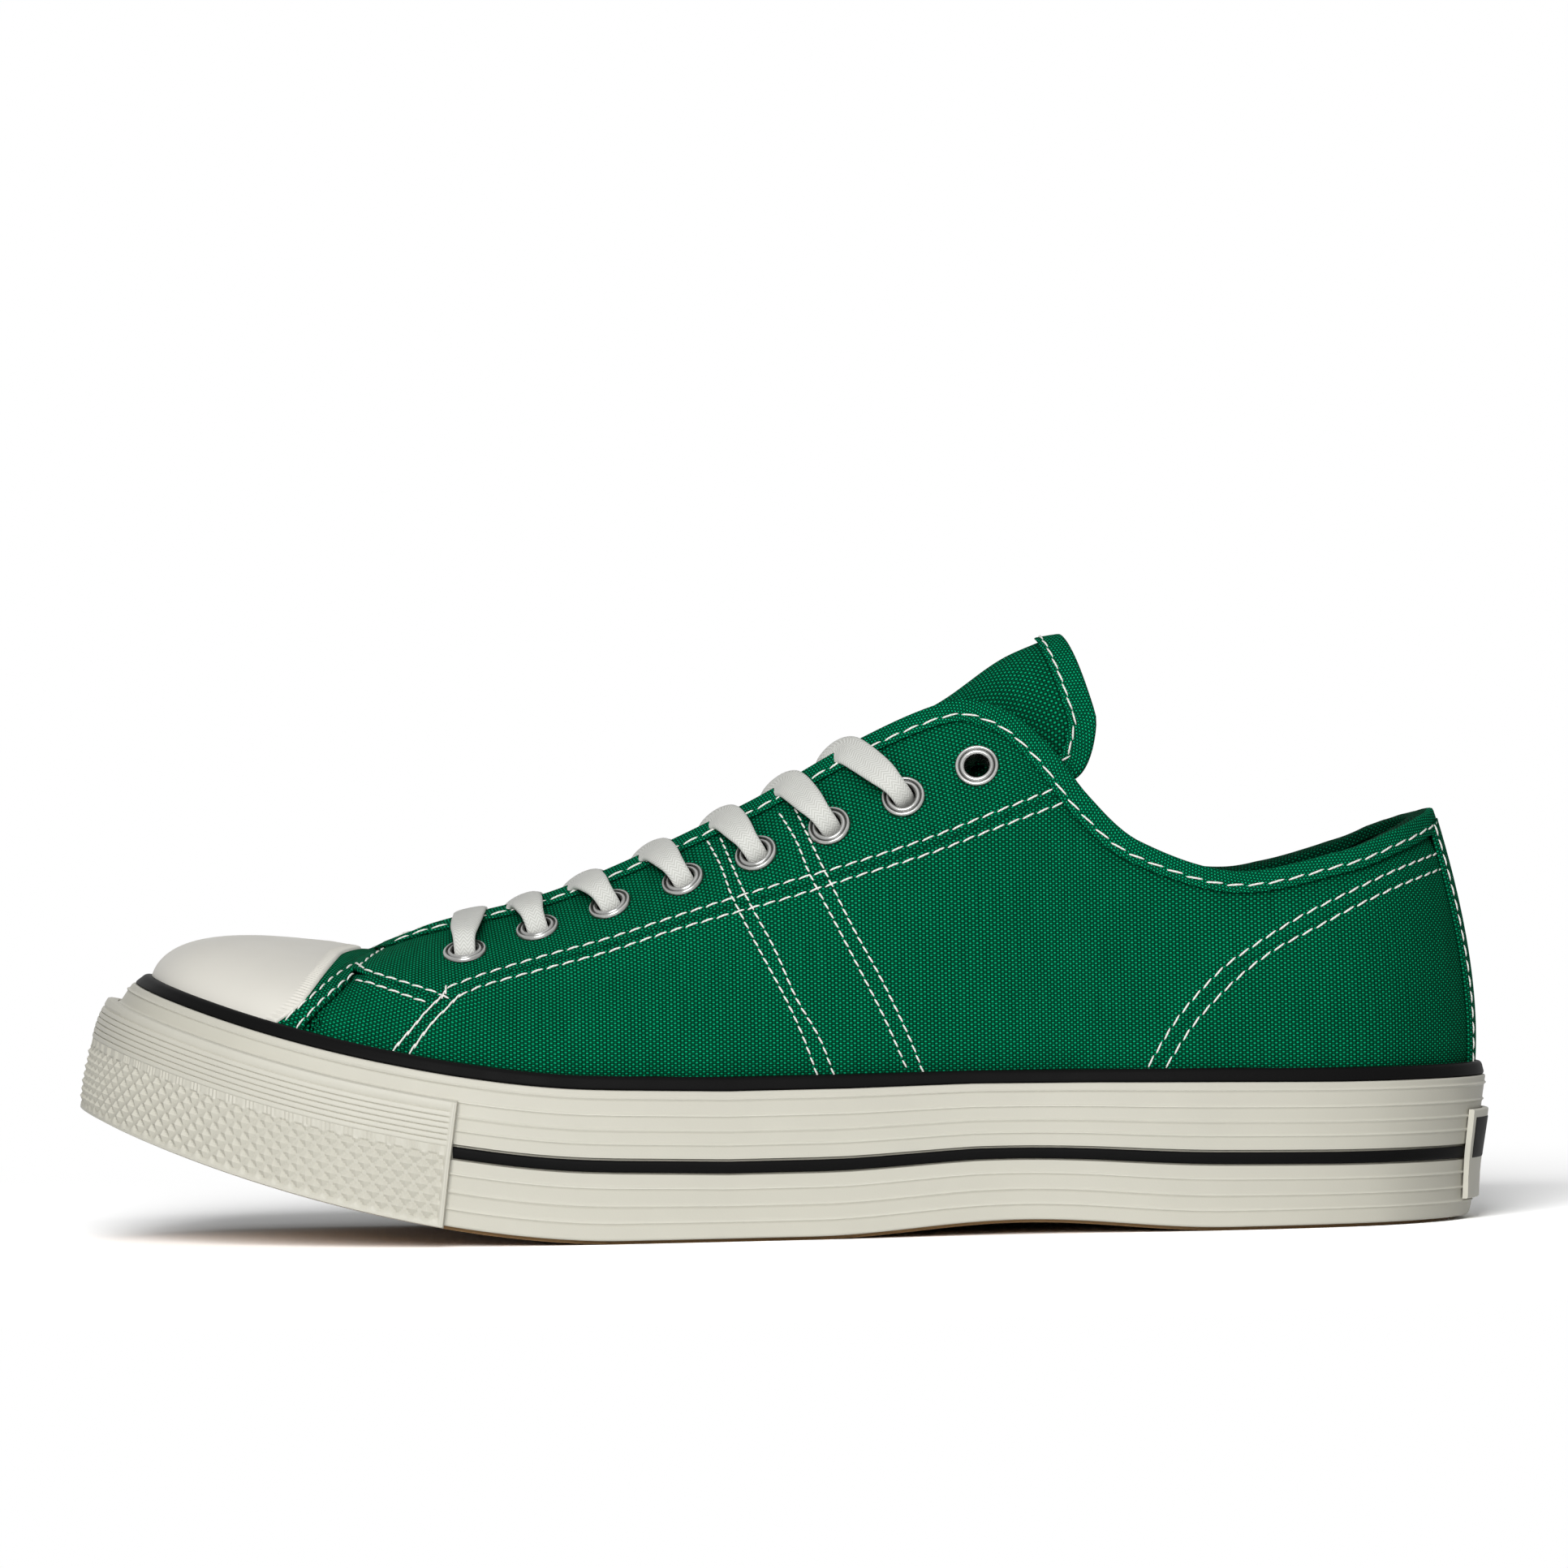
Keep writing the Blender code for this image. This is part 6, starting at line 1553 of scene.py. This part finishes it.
def makeBackstay():
    v = np.linspace(tuckIn, backstayShape["top"], 60)
    lines = sectionsFrom(heelSection(backstayWidth(v)), last["crestEnd"], 16)
    roll = np.concatenate([[0.1, 0.75], np.ones(14)]) * backstayShape["raise"]
    rows = []
    for side, order in ((outerSide, slice(None)), (innerSide, slice(-2, None, -1))):
        rows.append(onUpper(side, lines, v[None, :] + 0 * lines,
                            level["facing"] + roll[:, None] + 0 * v)[order])
    points = np.concatenate(rows)
    piece = addPiece("backstay", gridMesh("backstay", points, runLengths(points)), green, "shoe",
                     ["backstay"])
    thicken(piece, clothThickness["backstay"])
    bm = bmesh.new()
    v = np.linspace(0.02, backstayShape["top"], 60)
    q = heelSection(backstayWidth(v) - 0.0016)
    for side in sides.values():
        path = onUpper(side, q, v, np.full(60, level["facing"] + backstayShape["raise"]))
        layStitches(bm, path, upperNormal(side, q, v))
    finishStitches("backstayStitches", bm)


makeBackstay()
print("backstay made")

# cloth: each panel's cut size is measured on its own flat map and printed
def cutSize(mesh):
    place = np.array([loop.uv for loop in mesh.uv_layers["flat"].data])
    turned = [place @ np.array([[np.cos(a), -np.sin(a)],
                                [np.sin(a), np.cos(a)]]) for a in np.radians(np.arange(0, 90, 3))]
    return min((np.ptp(spots, axis=0) for spots in turned), key=np.prod)


def declareCloth(name, held="stretched"):
    mesh = pieces[name].data
    width, length = sorted(float(size) for size in cutSize(mesh))
    area = sum(face.area for face in mesh.polygons)
    if held == "folded":
        area, width = area / 2, area / 2 / length
    print(name, held, round(width, 4), round(length, 4), round(area, 6))


for stem in ("vamp", "quarter", "eyestay", "heelCounter", "quarterLining", "vampLining"):
    for word in sides:
        declareCloth(stem + word)
declareCloth("toeBand")
declareCloth("backstay")
declareCloth("tongue")
declareCloth("collarBinding", "folded")

# floor with a painted shadow under the toe, lights and a white surround
studio = {"world": 0.12, "floor": 0.8, "floorSeen": 2.3, "near": 0.17, "far": 0.40, "floorSize": 6,
          "shadeBehind": (0.0, 0.10), "shadeRear": (-0.01, -0.07), "shadeFront": (-0.155, -0.115),
          "shadeReach": 0.25, "shadePower": 4.0, "aim": (0, 0, 0.05)}
lamps = {"overhead": {"place": (0.0, -0.50, 1.6), "size": 1.2, "power": 3.0},
         "front": {"place": (-0.28, -1.85, 0.80), "size": 0.9, "power": 38}}


def makeStudio():
    bm = bmesh.new()
    bmesh.ops.create_grid(bm, x_segments=1, y_segments=1, size=studio["floorSize"])
    mesh = bpy.data.meshes.new("floor")
    bm.to_mesh(mesh)
    bm.free()
    floor = bpy.data.objects.new("floor", mesh)
    bpy.context.scene.collection.objects.link(floor)
    made = bpy.data.materials.new("paleFloor")
    made.use_nodes = True
    made.node_tree.nodes.clear()
    w = Wiring(made)
    seen = w.seen()
    reach = w.node("ShaderNodeVectorMath", operation="LENGTH")
    w.link(w.objectPlace(), reach.inputs[0])
    white = w.math("MULTIPLY", seen, w.span(reach.outputs["Value"], studio["near"], studio["far"]))
    along = w.node("ShaderNodeSeparateXYZ")
    w.link(w.objectPlace(), along.inputs[0])
    # painted shadow: behind and under the toe the floor's seen tone darkens with ambient occlusion raised to
    # a power, inside the shade masks
    clear = w.math("POWER", w.paintedShade(studio["shadeReach"], 24), studio["shadePower"])
    under = w.math("MULTIPLY", w.span(along.outputs[1], *studio["shadeBehind"]),
                   w.span(along.outputs[0], *studio["shadeRear"]))
    under = w.math("MULTIPLY", w.math("MULTIPLY", seen, under),
                   w.span(along.outputs[0], *studio["shadeFront"]))
    shade = w.math("MULTIPLY_ADD", under, w.math("SUBTRACT", clear, 1.0), 1.0)
    pale = w.math("MULTIPLY_ADD", seen, studio["floorSeen"] - studio["floor"], studio["floor"])
    tone = w.node("ShaderNodeCombineColor")
    for k in range(3):
        w.link(w.math("MULTIPLY", pale, shade), tone.inputs[k])
    diffuse, glow = w.node("ShaderNodeBsdfDiffuse"), w.node("ShaderNodeEmission")
    w.link(tone.outputs[0], diffuse.inputs["Color"])
    mixed = w.node("ShaderNodeMixShader")
    for socket, source in enumerate((white, diffuse.outputs[0], glow.outputs[0])):
        w.link(source, mixed.inputs[socket])
    w.link(mixed.outputs[0], w.node("ShaderNodeOutputMaterial").inputs["Surface"])
    mesh.materials.append(made)
    world = bpy.data.worlds.new("surround")
    bpy.context.scene.world = world
    world.use_nodes = True
    w = Wiring(world)
    seen = w.seen()
    back = world.node_tree.nodes["Background"]
    back.inputs["Color"].default_value = (1, 1, 1, 1)
    w.link(w.math("MULTIPLY_ADD", seen, 1 - studio["world"], studio["world"]), back.inputs["Strength"])
    for name, facts in lamps.items():
        lamp = bpy.data.lights.new(name, "AREA")
        lamp.size = facts["size"]
        lamp.energy = facts["power"]
        made = bpy.data.objects.new(name, lamp)
        bpy.context.scene.collection.objects.link(made)
        place = Vector(facts["place"])
        look = (Vector(studio["aim"]) - place).to_track_quat("-Z", "Y").to_matrix().to_4x4()
        made.matrix_world = Matrix.Translation(place) @ look
    bpy.context.scene.view_settings.view_transform = "Standard"


makeStudio()
print("studio made")
